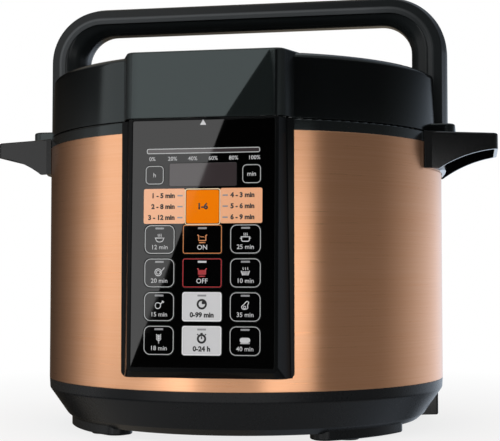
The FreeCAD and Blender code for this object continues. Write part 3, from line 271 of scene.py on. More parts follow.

# %% [markdown]
# The carry handle is a duller moulding, so that the hand doesn't slip, and the slope along its
# lower edges is a little rougher and painted grey, a painted highlight. To find that slope, the
# finish measures how far a point lies below the handle's outer line: the line is a rectangle with
# two round corners, so its distance is that of a rounded box. The painted highlight fades towards
# the right.

# %% Carry handle
handle_reach = 0.1499
handle_crest = 0.312
handle_bend = 0.0425
decimetres = 10
fade_scale = 5
handle_black = (0.0110, 0.0130, 0.0138)
# painted highlight: the grey laid on the handle's lower slope
highlight_grey = (0.080, 0.086, 0.090)

handle_satin_painted_highlight, handle_shader, handle_place = new_finish("handle_satin_painted_highlight", Specular_IOR_Level=0.16)
past_side = (handle_place.maths("ABSOLUTE", handle_place.part("X"))
             - (handle_reach - handle_bend))
past_top = handle_place.part("Z") - (handle_crest - handle_bend)
round_x = past_side.maths("MAXIMUM", past_side, 0.0)
round_z = past_top.maths("MAXIMUM", past_top, 0.0)
straight = past_side.maths("MINIMUM", past_side.maths("MAXIMUM", past_side, past_top), 0.0)
below_line = handle_bend - (round_x ** 2 + round_z ** 2) ** 0.5 - straight
from_middle = handle_place.maths("ABSOLUTE", handle_place.part("Y"))

satin_highlight_band = (below_line * decimetres).steps(
    (0.088, 0.0), (0.096, 1.0), (0.132, 1.0), (0.136, 0.0))
outer_face = (from_middle * decimetres).steps((0.192, 0.0), (0.194, 1.0))
highlight_fade = (handle_place.part("X") * fade_scale).steps((0.45, 1.0), (0.65, 0.25))
satin_and_highlight = satin_highlight_band * outer_face * highlight_fade
handle_patches = handle_place.noise(patch_scale, 3)
# painted highlight: the lower slope is tinted grey, fading towards the right
feed(handle_shader, "Base Color", satin_and_highlight.tint(handle_black, highlight_grey))
feed(handle_shader, "Roughness", 0.24 + 0.08 * (handle_patches - 0.5) + 0.2 * satin_and_highlight)
relief(handle_shader, handle_place.noise(mould_grain, 2), mould_depth)
print("handle finish:", handle_satin_painted_highlight.name)

# %% [markdown]
# Rubber feet and the silicone seal are softer looking: rough, patchy in tone,
# with a coarse grain that never gives a sharp reflection.

# %% Rubber and silicone
rubber_black = moulded("rubber_black", (0.012, 0.012, 0.012), (0.028, 0.027, 0.026),
                       gloss=0.72, patch=0.12, depth=0.0001, grain_scale=900)
silicone = moulded("silicone", (0.50, 0.49, 0.46), (0.60, 0.59, 0.56),
                   gloss=0.48, patch=0.1, depth=0.00004, grain_scale=700)
print("soft finishes:", rubber_black.name, silicone.name)

# %% [markdown]
# The body is a band of steel with a copper coloured coat, brushed round and round before it is
# rolled. The brushing is noise in cylinder coordinates: the angle is stretched long and the height
# is squeezed short, so every fleck becomes a fine level line. The shader is also made anisotropic
# and turned a quarter, which pulls highlights upright across the lines, as on the real band.

# %% Brushed copper
def brushed(name, low, high, gloss):
    material, shader, place = new_finish(
        name, Metallic=1.0, Anisotropic=0.62, Anisotropic_Rotation=0.25)
    angle = place.maths("ARCTAN2", place.part("Y"), place.part("X"))
    along = place.node("ShaderNodeCombineXYZ", {}, {0: angle * 0.5, 1: place.part("Z")})
    fine = along.stretch(6, 3000, 1).noise(1, 3, 0.6)
    lines = along.stretch(2.4, 760, 1).noise(1, 4, 0.65)
    bands = along.stretch(1.2, 60, 1).noise(1, 2)
    mark = 0.4 * lines + 0.45 * fine + 0.15 * bands
    feed(shader, "Base Color", mark.steps((0.33, 0.0), (0.67, 1.0)).tint(low, high))
    feed(shader, "Roughness", gloss + 0.10 * (lines - 0.5) + 0.10 * (fine - 0.5))
    relief(shader, 0.8 * fine + 0.2 * lines, depth=0.00003, strength=0.05, edge=0.0008)
    return material


copper_steel = brushed("copper_steel", (0.84, 0.405, 0.210), (0.95, 0.525, 0.310), gloss=0.30)
steel = brushed("steel", (0.52, 0.52, 0.51), (0.66, 0.66, 0.65), gloss=0.26)
print("brushed:", copper_steel.name, steel.name)

# %% [markdown]
# Screws are zinc plated, the heater is cast aluminium, the pot has a dark speckled coating,
# and the blades in the mains socket are brass. All of them are noise again, at each finish's
# own scale, and the coating's specks are the middles of small cells.

# %% Small metals and the pot's coating
def cast(name, low, high, gloss, grain_scale, depth):
    material, shader, place = new_finish(name, Metallic=1.0)
    patches = place.noise(60, 4, 0.6)
    wear = place.noise(grain_scale * 0.3, 3)
    feed(shader, "Base Color", patches.tint(low, high))
    feed(shader, "Roughness", gloss + 0.16 * (wear - 0.5))
    relief(shader, place.noise(grain_scale, 3), depth, strength=0.35, edge=0.0002)
    return material


screw_steel = cast("screw_steel", (0.42, 0.42, 0.41), (0.62, 0.61, 0.58),
                   gloss=0.34, grain_scale=1500, depth=0.00003)
cast_aluminium = cast("cast_aluminium", (0.46, 0.46, 0.46), (0.58, 0.58, 0.57),
                      gloss=0.48, grain_scale=800, depth=0.0001)
brass_blade = cast("brass_blade", (0.62, 0.48, 0.20), (0.74, 0.60, 0.30),
                   gloss=0.30, grain_scale=1200, depth=0.00003)

coating_black = (0.018, 0.018, 0.019)
speck_grey = (0.20, 0.20, 0.20)
pot_coating, pot_shader, pot_place = new_finish("pot_coating", Specular_IOR_Level=0.5)
cells = pot_place.node("ShaderNodeTexVoronoi", {}, {"Vector": pot_place, "Scale": 900.0})
specks = cells.steps((0.10, 1.0), (0.22, 0.0))
feed(pot_shader, "Base Color", specks.tint(coating_black, speck_grey))
feed(pot_shader, "Roughness", 0.36 + 0.12 * (pot_place.noise(30) - 0.5))
relief(pot_shader, pot_place.noise(500, 3), depth=0.00005)
print("metals:", screw_steel.name, cast_aluminium.name, brass_blade.name, pot_coating.name)

# %% [markdown]
# A circuit board is green lacquer over copper tracks. The tracks are not drawn one by one:
# cells of a brick texture give a believable board for a part that is only seen through a hatch.

# %% Circuit boards
board_low = (0.012, 0.085, 0.035)
board_high = (0.03, 0.16, 0.07)
board_green, board_shader, board_place = new_finish(
    "board_green", Coat_Weight=0.4, Coat_Roughness=0.2)
tracks = board_place.node("ShaderNodeTexBrick", {}, {
    "Vector": board_place, "Scale": 260.0, "Mortar Size": 0.03}, out=1)
feed(board_shader, "Base Color", tracks.tint(board_low, board_high))
feed(board_shader, "Roughness", 0.38 + 0.1 * (board_place.noise(90) - 0.5))
relief(board_shader, tracks, depth=0.00003)
print("board finish:", board_green.name)

# %% [markdown]
# The control panel is a sheet of high gloss plastic, dyed through, with print on its face.
# Its gloss is nearly a mirror, so it takes a very low roughness with only a breath of smear on it.
# The display window is the same sheet, but thinner and greyer.

# %% Panel gloss, keys and display
def glossy(name, low, high, gloss=mirror_gloss, shine=0.55):
    material, shader, place = new_finish(name, Specular_IOR_Level=shine)
    smear = place.noise(35, 4, 0.6)
    feed(shader, "Base Color", smear.tint(low, high))
    feed(shader, "Roughness", gloss + 0.03 * (smear.steps((0.45, 0.0), (0.8, 1.0)) - 0.2))
    relief(shader, place.noise(40, 1), depth=0.000004, strength=0.15, edge=0.0002)
    return material


sheet_black = ((0.0003, 0.0003, 0.0003), (0.0006, 0.0006, 0.0006))
overlay_gloss = glossy("overlay_gloss", *sheet_black)
key_black = glossy("key_black", *sheet_black, gloss=0.03)
smoked_window = glossy("smoked_window", (0.040, 0.031, 0.033), (0.047, 0.037, 0.039),
                       gloss=0.03, shine=0.80)
key_grey = glossy("key_grey", (0.66, 0.66, 0.67), (0.72, 0.72, 0.73), gloss=0.12)
key_orange = glossy("key_orange", (0.98, 0.215, 0.002), (1.0, 0.240, 0.003),
                    gloss=0.05, shine=0.12)
print("gloss finishes:", overlay_gloss.name, smoked_window.name,
      key_black.name, key_grey.name, key_orange.name)

# %% [markdown]
# Each solid carries the name of a material slot from its record, and most solids simply take the
# finish of that name. Four differ: the panel sheet is a mirror, the upper ring shines like the
# lid, the base is a duller black, and the carry handle has a satin of its own with a painted
# highlight.

# %% Finishes onto the solids
slot_of = {part["node"]: part["material_slot"] for part in frame["record"]["subparts"]}
own_finish = {"panel_overlay": overlay_gloss, "upper_ring": gloss_black,
              "base_tray": base_black, "carry_handle": handle_satin_painted_highlight}
for name, solid in nodes.items():
    solid.material_slots[0].material = own_finish.get(name, finishes[slot_of[name]])
print("dressed:", len(slot_of), "solids with", len(finishes), "finishes")

# %% [markdown]
# Print is ink: opaque, matt by itself, but lacquered over so that it shines like the sheet
# around it. A coat on the shader is that lacquer.

# %% Inks
def ink(name, low, high):
    material, shader, place = new_finish(name, Coat_Weight=1.0, Coat_Roughness=0.04)
    feed(shader, "Base Color", place.noise(900, 3).tint(low, high))
    feed(shader, "Roughness", 0.5 + 0.2 * (place.noise(1500) - 0.5))
    return material


white_ink = ink("white_ink", (0.60, 0.60, 0.61), (0.70, 0.70, 0.71))
frame_ink = ink("frame_ink", (0.43, 0.44, 0.44), (0.50, 0.51, 0.51))
rim_ink = ink("rim_ink", (0.94, 0.94, 0.94), (0.98, 0.98, 0.98))
dark_ink = ink("dark_ink", (0.004, 0.004, 0.004), (0.008, 0.007, 0.007))
peach_ink = ink("peach_ink", (0.96, 0.44, 0.22), (1.0, 0.49, 0.26))
pale_ink = ink("pale_ink", (0.95, 0.72, 0.44), (1.0, 0.78, 0.50))
orange_ink = ink("orange_ink", (0.62, 0.21, 0.05), (0.72, 0.26, 0.08))
red_ink = ink("red_ink", (0.40, 0.008, 0.014), (0.50, 0.014, 0.022))
lamp_ink = ink("lamp_ink", (0.26, 0.26, 0.27), (0.33, 0.33, 0.34))
print("inks:", [name for name in finishes if name.endswith("_ink")])

# %% [markdown]
# The panel leans back by a degree and a half, so print is laid out flat first, in millimetres
# across and up, and put on the panel in one go at the end. A print is finished by joining the
# flat shapes, giving them a hair of thickness, turning them to the panel's lean and applying
# that turn, so the object itself stays at the origin.

# %% From the drawing board to the panel
MM = 0.001
panel_lean = math.atan(0.0261)
panel_foot = -0.15185
face_depth = 0.0004
ink_height = 0.00006


def only(*objects):
    bpy.ops.object.select_all(action="DESELECT")
    for one in objects:
        one.select_set(True)
    if objects:
        bpy.context.view_layer.objects.active = objects[0]


def settled():
    bpy.ops.object.transform_apply(location=True, rotation=True, scale=True)
    return bpy.context.object


def painted(shape, material):
    shape.data.materials.clear()
    shape.data.materials.append(material)
    return shape


def above(shape):
    shape.location.y -= ink_height
    return shape


def lay_on_panel(name, shapes, body):
    only(*shapes)
    piece = settled()
    if len(shapes) > 1:
        bpy.ops.object.join()
    piece.name = name
    piece.data.name = name
    thick = piece.modifiers.new("ink", "SOLIDIFY")
    thick.thickness = ink_height
    thick.offset = 1.0
    bpy.ops.object.modifier_apply(modifier="ink")
    piece.rotation_euler.x = -panel_lean
    piece.location.y = panel_foot
    settled()
    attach(piece, body)
    return piece


# %% [markdown]
# Flat shapes come in four kinds. A plate is a plane whose corners are rounded with a vertex bevel.
# A frame is a plate with an inset and its middle deleted. A disc is a filled circle, and a ring
# an inset disc. They are drawn facing the viewer, at the depth of the panel's face.

# %% Plates, frames, discs and rings
facing = (math.pi / 2, 0, 0)


def spot(x, z):
    return (x * MM, face_depth, z * MM)


def plate(x, z, width, height, corner, material):
    only()
    bpy.ops.mesh.primitive_plane_add(size=1, location=spot(x, z), rotation=facing)
    bpy.context.object.scale = (width * MM, height * MM, 1)
    shape = settled()
    if corner > 0:
        bpy.ops.object.mode_set(mode="EDIT")
        bpy.ops.mesh.select_all(action="SELECT")
        bpy.ops.mesh.bevel(offset=corner * MM, segments=6, affect="VERTICES")
        bpy.ops.object.mode_set(mode="OBJECT")
    return painted(shape, material)


def open_middle(shape, line):
    only(shape)
    bpy.ops.object.mode_set(mode="EDIT")
    bpy.ops.mesh.select_all(action="SELECT")
    bpy.ops.mesh.inset(thickness=line * MM, depth=0, use_boundary=True)
    bpy.ops.mesh.delete(type="FACE")
    bpy.ops.object.mode_set(mode="OBJECT")
    return shape


def border(x, z, width, height, corner, line, material):
    return open_middle(plate(x, z, width, height, corner, material), line)


def disc(x, z, radius, material, sides=32):
    only()
    bpy.ops.mesh.primitive_circle_add(vertices=sides, radius=radius * MM, fill_type="NGON",
                                      location=spot(x, z), rotation=facing)
    return painted(settled(), material)


def hoop(x, z, radius, line, material):
    return open_middle(disc(x, z, radius, material), line)


# %% [markdown]
# Letters are text objects made into meshes, and a pen stroke is a curve with a round bevel that
# is made into a mesh and pressed flat. Both are converted before their place is applied.
# Dark letters on a pale ground look thinner than they are, so they are drawn a little heavier.

# %% Letters and pen strokes
light_weight = 0.010
dark_weight = 0.045


def letters(words, x, z, size, material, side="CENTER"):
    only()
    bpy.ops.object.text_add(location=spot(x, z), rotation=facing)
    text = bpy.context.object.data
    text.body = words
    text.size = size * MM
    text.align_x = side
    text.align_y = "CENTER"
    text.resolution_u = 3
    text.offset = (dark_weight if material is dark_ink else light_weight) * size * MM
    bpy.ops.object.convert(target="MESH")
    return painted(settled(), material)


def stroke(points, x, z, material, line=0.55, closed=False, smooth=False):
    only()
    bpy.ops.curve.primitive_nurbs_path_add(location=(0, 0, 0))
    curve = bpy.context.object.data
    curve.splines.clear()
    spline = curve.splines.new("NURBS" if smooth else "POLY")
    spline.points.add(len(points) - 1)
    for knot, (u, v) in zip(spline.points, points):
        knot.co = ((x + u) * MM, 0, (z + v) * MM, 1)
    spline.use_cyclic_u = closed
    if smooth:
        spline.order_u = 3
        spline.use_endpoint_u = not closed
        spline.resolution_u = 5
    curve.dimensions = "3D"
    curve.bevel_depth = line / 2 * MM
    curve.bevel_resolution = 1
    curve.use_fill_caps = not closed
    bpy.ops.object.convert(target="MESH")
    shape = bpy.context.object
    shape.scale.y = 0.15
    shape.location.y = face_depth
    return painted(settled(), material)


# %% [markdown]
# The pictograms on the keys are drawn from a few pen strokes each, about six millimetres high.
# The first four are dishes with something hot in them: a bowl, a pot, a soup plate with a spoon
# and a steamer. Three of them share the same wisps of steam.

# %% Pictograms of dishes
def steam(x, z, ink_used, places=(-1.0, 0.0, 1.0)):
    return [stroke([(u, 0.0), (u + 0.35, 0.6), (u - 0.25, 1.1), (u + 0.1, 1.7)],
                   x, z, ink_used, 0.34, smooth=True) for u in places]


def bowl(x, z, ink_used):
    side = stroke([(-2.7, 0), (-2.3, -1.7), (-0.9, -2.5), (0.9, -2.5), (2.3, -1.7), (2.7, 0)],
                  x, z, ink_used, smooth=True)
    brim = stroke([(-3.1, 0), (3.1, 0)], x, z, ink_used)
    return [side, brim] + steam(x, z + 0.9, ink_used)


def pot(x, z, ink_used):
    side = stroke([(-2.5, 0.4), (-2.5, -1.6), (-1.9, -2.3), (1.9, -2.3), (2.5, -1.6), (2.5, 0.4)],
                  x, z, ink_used)
    grips = [stroke([(s * 2.5, -0.4), (s * 3.5, -0.4)], x, z, ink_used) for s in (-1, 1)]
    brim = stroke([(-3.0, 0.5), (3.0, 0.5)], x, z, ink_used)
    return [side, brim] + grips + steam(x, z + 1.2, ink_used)


def soup(x, z, ink_used):
    spoon = stroke([(1.2, -0.1), (3.3, 2.5)], x, z, ink_used)
    return [hoop(x - 0.7, z - 0.5, 2.4, 0.5, ink_used), hoop(x - 0.7, z - 0.5, 1.35, 0.4, ink_used),
            spoon, disc(x + 0.9, z - 0.4, 0.75, ink_used, 16)]


def steamer(x, z, ink_used):
    slats = [stroke([(-2.4 + 0.3 * k, -0.3 - 0.85 * k), (2.4 - 0.3 * k, -0.3 - 0.85 * k)],
                    x, z, ink_used) for k in range(3)]
    sides = [stroke([(s * 2.7, 0.4), (s * 1.7, -2.4)], x, z, ink_used) for s in (-1, 1)]
    return slats + sides + steam(x, z + 0.9, ink_used, (-1.5, 0.0, 1.5))


# %% [markdown]
# The other four are food: a drumstick, a cut of meat, an ear of grain and a loaf. A closed
# stroke with smooth corners draws the first two in outline.

# %% Pictograms of food
def drumstick(x, z, ink_used):
    leg = stroke([(-2.6, -0.6), (-2.0, 1.5), (0.2, 1.5), (1.3, 0.2), (0.6, -1.9), (-1.6, -2.3)],
                 x, z, ink_used, closed=True, smooth=True)
    bone = stroke([(0.9, 0.6), (2.3, 1.9)], x, z, ink_used, 0.7)
    knobs = [disc(x + u, z + v, 0.5, ink_used, 16) for u, v in ((2.3, 2.4), (2.8, 1.9))]
    return [leg, bone] + knobs


def meat(x, z, ink_used):
    cut = stroke([(-1.4, -2.6), (-2.6, -0.8), (-0.8, 0.6), (0.9, 2.8), (2.5, 2.0), (1.4, 0.2),
                  (1.9, -2.0)], x, z, ink_used, closed=True, smooth=True)
    return [cut, hoop(x - 0.4, z - 1.1, 0.95, 0.4, ink_used)]


def grain(x, z, ink_used):
    leaves = []
    for k in range(3):
        for s in (-1, 1):
            leaf = [(0, -1.2 + k * 1.3), (s * 1.1, -0.7 + k * 1.3), (s * 1.4, 0.3 + k * 1.3)]
            leaves.append(stroke(leaf, x, z, ink_used, 0.6, smooth=True))
    return leaves + [stroke([(0, -2.8), (0, 2.7)], x, z, ink_used, 0.45)]


def loaf(x, z, ink_used):
    crust = plate(x, z - 0.4, 6.6, 3.2, 1.5, ink_used)
    board = stroke([(-3.0, -2.4), (3.0, -2.4)], x, z, ink_used, 0.45)
    return [crust, board]


# %% [markdown]
# A dish key has a rounded frame along its edge, a short lamp bar under the frame's top,
# a pictogram and a cooking time. The frame and the bar are the same on all eight,
# so they come from one recipe.

# %% The eight dish keys
column_side = 27.7
first_row = 131.2
row_step = 21.2
line_width = 0.48
key_height = 18.1
dish_width, dish_corner = 19.4, 4.0
lamp_rise, lamp_width, lamp_height, lamp_corner = 7.0, 5.6, 1.15, 0.2
sign_rise = 0.9
time_drop, time_size = 5.0, 4.0
dishes = [(bowl, "12 min", pot, "25 min"), (soup, "20 min", steamer, "10 min"),
          (drumstick, "15 min", meat, "35 min"), (grain, "18 min", loaf, "40 min")]
made_prints = []


def row_level(row):
    return first_row - row_step * row


def lamp_bar(x, level, ink_used):
    return plate(x, level + lamp_rise, lamp_width, lamp_height, lamp_corner, ink_used)


for row, (left_sign, left_time, right_sign, right_time) in enumerate(dishes):
    level = row_level(row)
    for side, x, sign, minutes in (("left", -column_side, left_sign, left_time),
                                   ("right", column_side, right_sign, right_time)):
        key = "key_%d_%s" % (row + 1, side)
        shapes = [border(x, level, dish_width, key_height, dish_corner, line_width, frame_ink),
                  lamp_bar(x, level, lamp_ink)]
        shapes += sign(x, level + sign_rise, white_ink)
        shapes.append(letters(minutes, x, level - time_drop, time_size, white_ink))
        made_prints.append(lay_on_panel("print_" + key, shapes, key))
print("dish keys printed:", len(made_prints))

# %% [markdown]
# The middle column works the cooker. The first two keys are outlined in orange and red with a pot
# drawn in the same ink, and the last two are pale keys with dark print: a clock for cooking time
# and a stopwatch for a late start. Their words are plain: ON, OFF, hours and minutes.

# %% Signs of the working keys
def pot_sign(x, z, ink_used, filled):
    side = stroke([(-3.0, 2.0), (-2.3, 1.4), (-2.3, -1.6), (2.3, -1.6), (2.3, 1.4), (3.0, 2.0)],
                  x, z, ink_used, 0.8)
    foot = stroke([(-2.0, -2.9), (2.0, -2.9)], x, z, ink_used, 0.8)
    if filled:
        return [side, foot, plate(x, z - 0.3, 4.2, 2.6, 0.3, ink_used)]
    wave = [(-1.4, 1.0), (-0.4, 0.5), (0.5, 0.9), (1.4, 0.4)]
    return [side, foot, stroke(wave, x, z, ink_used, 0.4, smooth=True)]


def clock_sign(x, z):
    hand = plate(x + 0.95, z + 0.95, 1.9, 1.9, 0, dark_ink)
    return [hoop(x, z, 3.3, 1.25, dark_ink), hand]


def stopwatch_sign(x, z):
    face = hoop(x, z - 0.4, 3.0, 1.25, dark_ink)
    crown = plate(x, z + 2.9, 1.5, 0.8, 0.2, dark_ink)
    hand = stroke([(0, -0.5), (0, 1.0)], x, z, dark_ink, 0.7)
    knobs = [stroke([(s * 2.2, 2.0), (s * 2.8, 2.5)], x, z, dark_ink, 0.8) for s in (-1, 1)]
    return [face, crown, hand] + knobs


# %% [markdown]
# All four have the same size, a square-shouldered frame and a lamp bar. The bar of the OFF key
# is printed white, a painted glow that stands for its lit lamp.

# %% The four working keys
working_width, working_corner = 25.1, 1.5
pot_rise, dial_rise = 0.8, 1.6
word_drop, word_size = 5.2, 4.3
signs = [pot_sign(0, row_level(0) + pot_rise, orange_ink, filled=False),
         pot_sign(0, row_level(1) + pot_rise, red_ink, filled=True),
         clock_sign(0, row_level(2) + dial_rise),
         stopwatch_sign(0, row_level(3) + dial_rise)]
# painted glow: the OFF key's bar is white ink in place of a lit lamp
working = [("ON", orange_ink, white_ink, lamp_ink), ("OFF", red_ink, white_ink, white_ink),
           ("0-99 min", rim_ink, dark_ink, lamp_ink), ("0-24 h", rim_ink, dark_ink, lamp_ink)]
for row, (words, edge_ink, word_ink, bar_ink) in enumerate(working):
    level = row_level(row)
    edge = border(0, level, working_width, key_height, working_corner, line_width, edge_ink)
    shapes = signs[row] + [edge, lamp_bar(0, level, bar_ink),
                           letters(words, 0, level - word_drop, word_size, word_ink)]
    key = "key_%d_centre" % (row + 1)
    made_prints.append(lay_on_panel("print_" + key, shapes, key))
print("working keys printed, pieces so far:", len(made_prints))

# %% [markdown]
# Beside the display sit the hour and minute keys, and below it a peach plate with six programmes
# round an orange key. The plate is printed on the panel sheet, which has a hole where the orange
# key comes through, so it is two plates, left and right of the key, with a pale frame between.

# %% Hour, minute and start keys
unit_side, unit_level = 31.4, 172.2
unit_width, unit_corner = 11.8, 2.6
unit_text_level, unit_size = 172.1, 4.0
start_text_level, start_size = 151.9, 5.2
for key, x, unit in (("key_hour", -unit_side, "h"), ("key_minute", unit_side, "min")):
    shapes = [border(x, unit_level, unit_width, unit_width, unit_corner, line_width, frame_ink),
              letters(unit, x, unit_text_level, unit_size, white_ink)]
    made_prints.append(lay_on_panel("print_" + key, shapes, key))
start_shapes = [letters("1-6", 0, start_text_level, start_size, dark_ink)]
made_prints.append(lay_on_panel("print_key_start", start_shapes, "key_start"))
print("keys printed:", len(made_prints))

# %% [markdown]
# The plate's words stand one layer of ink above it. Each row has a dash that points at the key,
# and the words run outwards from the dash on either side.

# %% Programme plate
plate_side, plate_level = 24.85, 152.3
plate_width, plate_height, plate_corner = 26.9, 22.2, 1.2
start_level, start_frame, start_corner, start_line = 151.8, 23.0, 1.6, 0.6
programme_row, programme_step = 158.9, 6.95
dash_side, dash_width, dash_height, dash_corner = 14.6, 3.4, 0.9, 0.2
programme_side, programme_size = 18.0, 4.2
programmes = (("1 - 5 min", "4 - 3 min"), ("2 - 8 min", "5 - 6 min"), ("3 - 12 min", "6 - 9 min"))
plate_parts = [plate(side * plate_side, plate_level, plate_width, plate_height, plate_corner,
                     peach_ink) for side in (-1, 1)]
plate_parts.append(border(0, start_level, start_frame, start_frame, start_corner, start_line,
                          pale_ink))
for k, times in enumerate(programmes):
    level = programme_row - programme_step * k
    for side, align, words in zip((-1, 1), ("RIGHT", "LEFT"), times):
        dash = plate(side * dash_side, level, dash_width, dash_height, dash_corner, lamp_ink)
        plate_parts.append(above(dash))
        text = letters(words, side * programme_side, level, programme_size, dark_ink, align)
        plate_parts.append(above(text))
made_prints.append(lay_on_panel("print_programme_plate", plate_parts, "base"))
print("programmes printed:", 2 * len(programmes))

# %% [markdown]
# Above the display runs the progress bar with its scale, and under the lid's seam a small triangle
# shows where the lid's mark must stand when it is locked. The triangle is a disc of three sides.

# %% Progress scale and lid mark
bar_level, bar_width, bar_height, bar_corner, bar_line = 187.4, 73.4, 3.4, 1.2, 0.55
percent_level, percent_start, percent_step, percent_size = 182.4, -33, 13.2, 3.6
mark_level, mark_radius = 205.0, 2.4
scale_parts = [border(0, bar_level, bar_width, bar_height, bar_corner, bar_line, frame_ink)]
for k in range(6):
    scale_parts.append(letters("%d%%" % (20 * k), percent_start + percent_step * k, percent_level,
                               percent_size, white_ink))
scale_parts.append(disc(0, mark_level, mark_radius, white_ink, sides=3))
made_prints.append(lay_on_panel("print_progress_scale", scale_parts, "base"))
print("printed pieces:", len(made_prints))

# %% [markdown]
# Under the pot, out of sight, the sensor stands on a coil spring, and a spring gets shorter when
# it is pressed. The coil is wound again as a piece of its own, in place of the solid one:
# one ring of wire, carried round and up by the Screw modifier, with its two open ends filled.

# %% The sensor's spring
coil_low, coil_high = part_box("sensor_spring")
coil_wire = 0.6 * MM
coil_turns = 4
coil_sides = 12
steps_per_turn = 40
weld_distance = 0.01 * MM
coil_radius = coil_high.x - coil_wire
only()
bpy.ops.mesh.primitive_circle_add(
    vertices=coil_sides, radius=coil_wire, fill_type="NOTHING",
    location=(coil_radius, 0, coil_low.z + coil_wire), rotation=facing)
coil = settled()
coil.name = "sensor_coil"
wind = coil.modifiers.new("wind", "SCREW")
wind.angle = 2 * math.pi
wind.screw_offset = (coil_high.z - coil_low.z - 2 * coil_wire) / coil_turns
wind.iterations = coil_turns
wind.steps = wind.render_steps = steps_per_turn
bpy.ops.object.modifier_apply(modifier="wind")
bpy.ops.object.mode_set(mode="EDIT")
bpy.ops.mesh.select_all(action="SELECT")
bpy.ops.mesh.remove_doubles(threshold=weld_distance)
bpy.ops.mesh.fill_holes(sides=0)
bpy.ops.mesh.select_all(action="SELECT")
bpy.ops.mesh.normals_make_consistent(inside=False)
bpy.ops.object.mode_set(mode="OBJECT")
painted(coil, finishes[slot_of["sensor_spring"]])
for face in coil.data.polygons:
    face.use_smooth = len(face.vertices) == 4
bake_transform(coil)
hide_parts("sensor_spring")
print("spring:", len(coil.data.polygons), "faces")

# %% [markdown]
# The floor is a broad pale sheet. It stays a surface that takes shadow, but the picture's
# background is white, so most of what the camera sees of it is lifted to white by a mix that asks
# whether the ray is a camera's. Mirror rays pass through it, because the world has a floor of
# its own for them.

# %% Floor
floor_size = 40
floor_low = (0.86, 0.86, 0.86)
floor_high = (0.90, 0.90, 0.90)
only()
bpy.ops.mesh.primitive_plane_add(size=floor_size, location=(0, 0, 0))
floor = bpy.context.object
floor.name = "floor"
floor_paper, floor_shader, floor_place = new_finish(
    "floor_paper", Roughness=0.9, Specular_IOR_Level=0.1)
feed(floor_shader, "Base Color", floor_place.noise(3, 2).tint(floor_low, floor_high))
tree = floor_paper.node_tree
ray = Wire(tree.nodes.new("ShaderNodeLightPath").outputs["Is Camera Ray"])
away = floor_place.node("ShaderNodeVectorMath", {"operation": "LENGTH"}, {0: floor_place}, out=1)
lift = ray * (away * 0.5).steps((0.08, 0.80), (0.26, 1.0))
glow = ray.node("ShaderNodeEmission", {}, {"Color": (1, 1, 1, 1), "Strength": 1.0})
mixed = ray.node("ShaderNodeMixShader", {}, {0: lift, 1: Wire(floor_shader.outputs[0]), 2: glow})
tree.links.new(mixed.socket, tree.nodes["Material Output"].inputs["Surface"])
painted(floor, floor_paper)
floor.visible_glossy = False
print("floor:", floor_size, "m wide")

# %% [markdown]
# The world is a studio, and it answers each kind of ray in its own way. The camera sees white.
# Plain light comes evenly from all round. Mirror rays see a room: walls that are dark in front
# and paler at the sides and behind, a bright patch of floor in front of the cooker, and a pale
# floor and ceiling. Turn runs from 0 at the back, round by the left, the front and the right,
# to 1 at the back again, and rise runs from 0 straight down to 1 straight up.

# %% World for mirror rays
plain_light = 0.45
world = bpy.data.worlds.new("studio")
scene.world = world
world.use_nodes = True
tree = world.node_tree
path = tree.nodes.new("ShaderNodeLightPath")
seen = Wire(path.outputs["Is Camera Ray"])
mirrored = seen.maths("MAXIMUM", Wire(path.outputs["Is Glossy Ray"]),
                      Wire(path.outputs["Is Transmission Ray"]))
ahead = Wire(tree.nodes.new("ShaderNodeTexCoord").outputs["Generated"])
turn = 0.5 + 0.5 / math.pi * ahead.maths("ARCTAN2", ahead.part("X"), 0 - ahead.part("Y"))
rise = 0.5 + 0.5 * ahead.part("Z")
walls_round = turn.steps(
    (0.00, 0.80), (0.05, 0.10), (0.10, 0.04), (0.13, 0.055), (0.17, 0.12), (0.20, 0.22),
    (0.225, 0.38), (0.25, 0.70), (0.268, 0.75), (0.285, 0.24), (0.30, 0.24), (0.36, 0.01),
    (0.60, 0.02), (0.66, 0.21), (0.76, 0.23), (0.80, 0.40), (0.86, 0.70), (0.93, 1.00),
    (1.00, 1.00))
walls = walls_round * rise.steps((0.28, 0.05), (0.42, 1.0), (0.525, 1.0), (0.61, 0.12))
patch_round = turn.steps(
    (0.34, 0.0), (0.38, 0.8), (0.44, 0.7), (0.47, 1.25), (0.55, 1.25), (0.58, 0.7), (0.62, 0.0))
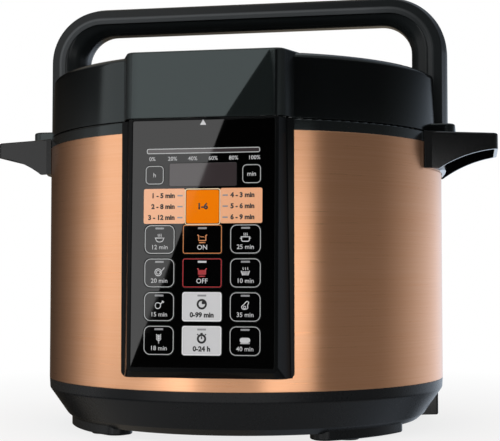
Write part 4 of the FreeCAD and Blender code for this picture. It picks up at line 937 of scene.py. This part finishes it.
floor_patch = patch_round * rise.steps((0.30, 0.0), (0.36, 1.0), (0.46, 1.0), (0.475, 0.0))
pale_floor = rise.steps((0.20, 0.36), (0.28, 0.0))
pale_ceiling = rise.steps((0.70, 0.0), (0.80, 0.40))
room = walls + floor_patch + pale_floor + pale_ceiling
strength = seen + (1 - seen) * (mirrored * room + (1 - mirrored) * plain_light)
print("world:", world.name)

# %% [markdown]
# The room's light is a little warm at the back left and cool at the back right. Halfway between
# the two hues is white, and every ray that is not mirrored takes that half.

# %% Hue of the room
warm = (1.08, 0.93, 0.72)
cool = (0.92, 1.07, 1.28)
room_hue = turn.steps((0.08, 0.0), (0.24, 0.5), (0.76, 0.5), (0.86, 0.9))
hue = room_hue * mirrored + 0.5 * (1 - mirrored)
backdrop = tree.nodes["Background"]
tree.links.new(hue.tint(warm, cool).socket, backdrop.inputs["Color"])
tree.links.new(strength.socket, backdrop.inputs["Strength"])
print("hues:", warm, cool)

# %% [markdown]
# Four soft boxes do the modelling. The largest stands in front on the left, and its leaning edge
# is what draws the slanting line across the glossy panel. One on the left lights the band there,
# one at the right of the camera lights the band beside the panel, and one overhead picks out the
# edges of the lid and the handle.

# %% Soft boxes
def soft_box(name, place, angles, width, height, radiance):
    only()
    bpy.ops.object.light_add(type="AREA", location=place,
                             rotation=[math.radians(angle) for angle in angles])
    lamp = bpy.context.object
    lamp.name = name
    lamp.data.shape = "RECTANGLE"
    lamp.data.size = width
    lamp.data.size_y = height
    lamp.data.energy = radiance * math.pi * width * height
    lamp.visible_camera = False


soft_box("front_left_box", (-0.745, -1.6, 0.707), (90, 20.5, 0),
         width=1.0, height=1.8, radiance=1.7)
soft_box("left_box", (-1.555, -0.911, 0.6), (84, 0, -62.5),
         width=1.18, height=1.6, radiance=1.0)
soft_box("right_box", (0.915, -1.405, 0.085), (90, 0, 33.2),
         width=0.78, height=0.47, radiance=2.1)
soft_box("top_box", (0.0, -0.1, 1.7), (0, 0, 0),
         width=1.4, height=1.2, radiance=0.9)
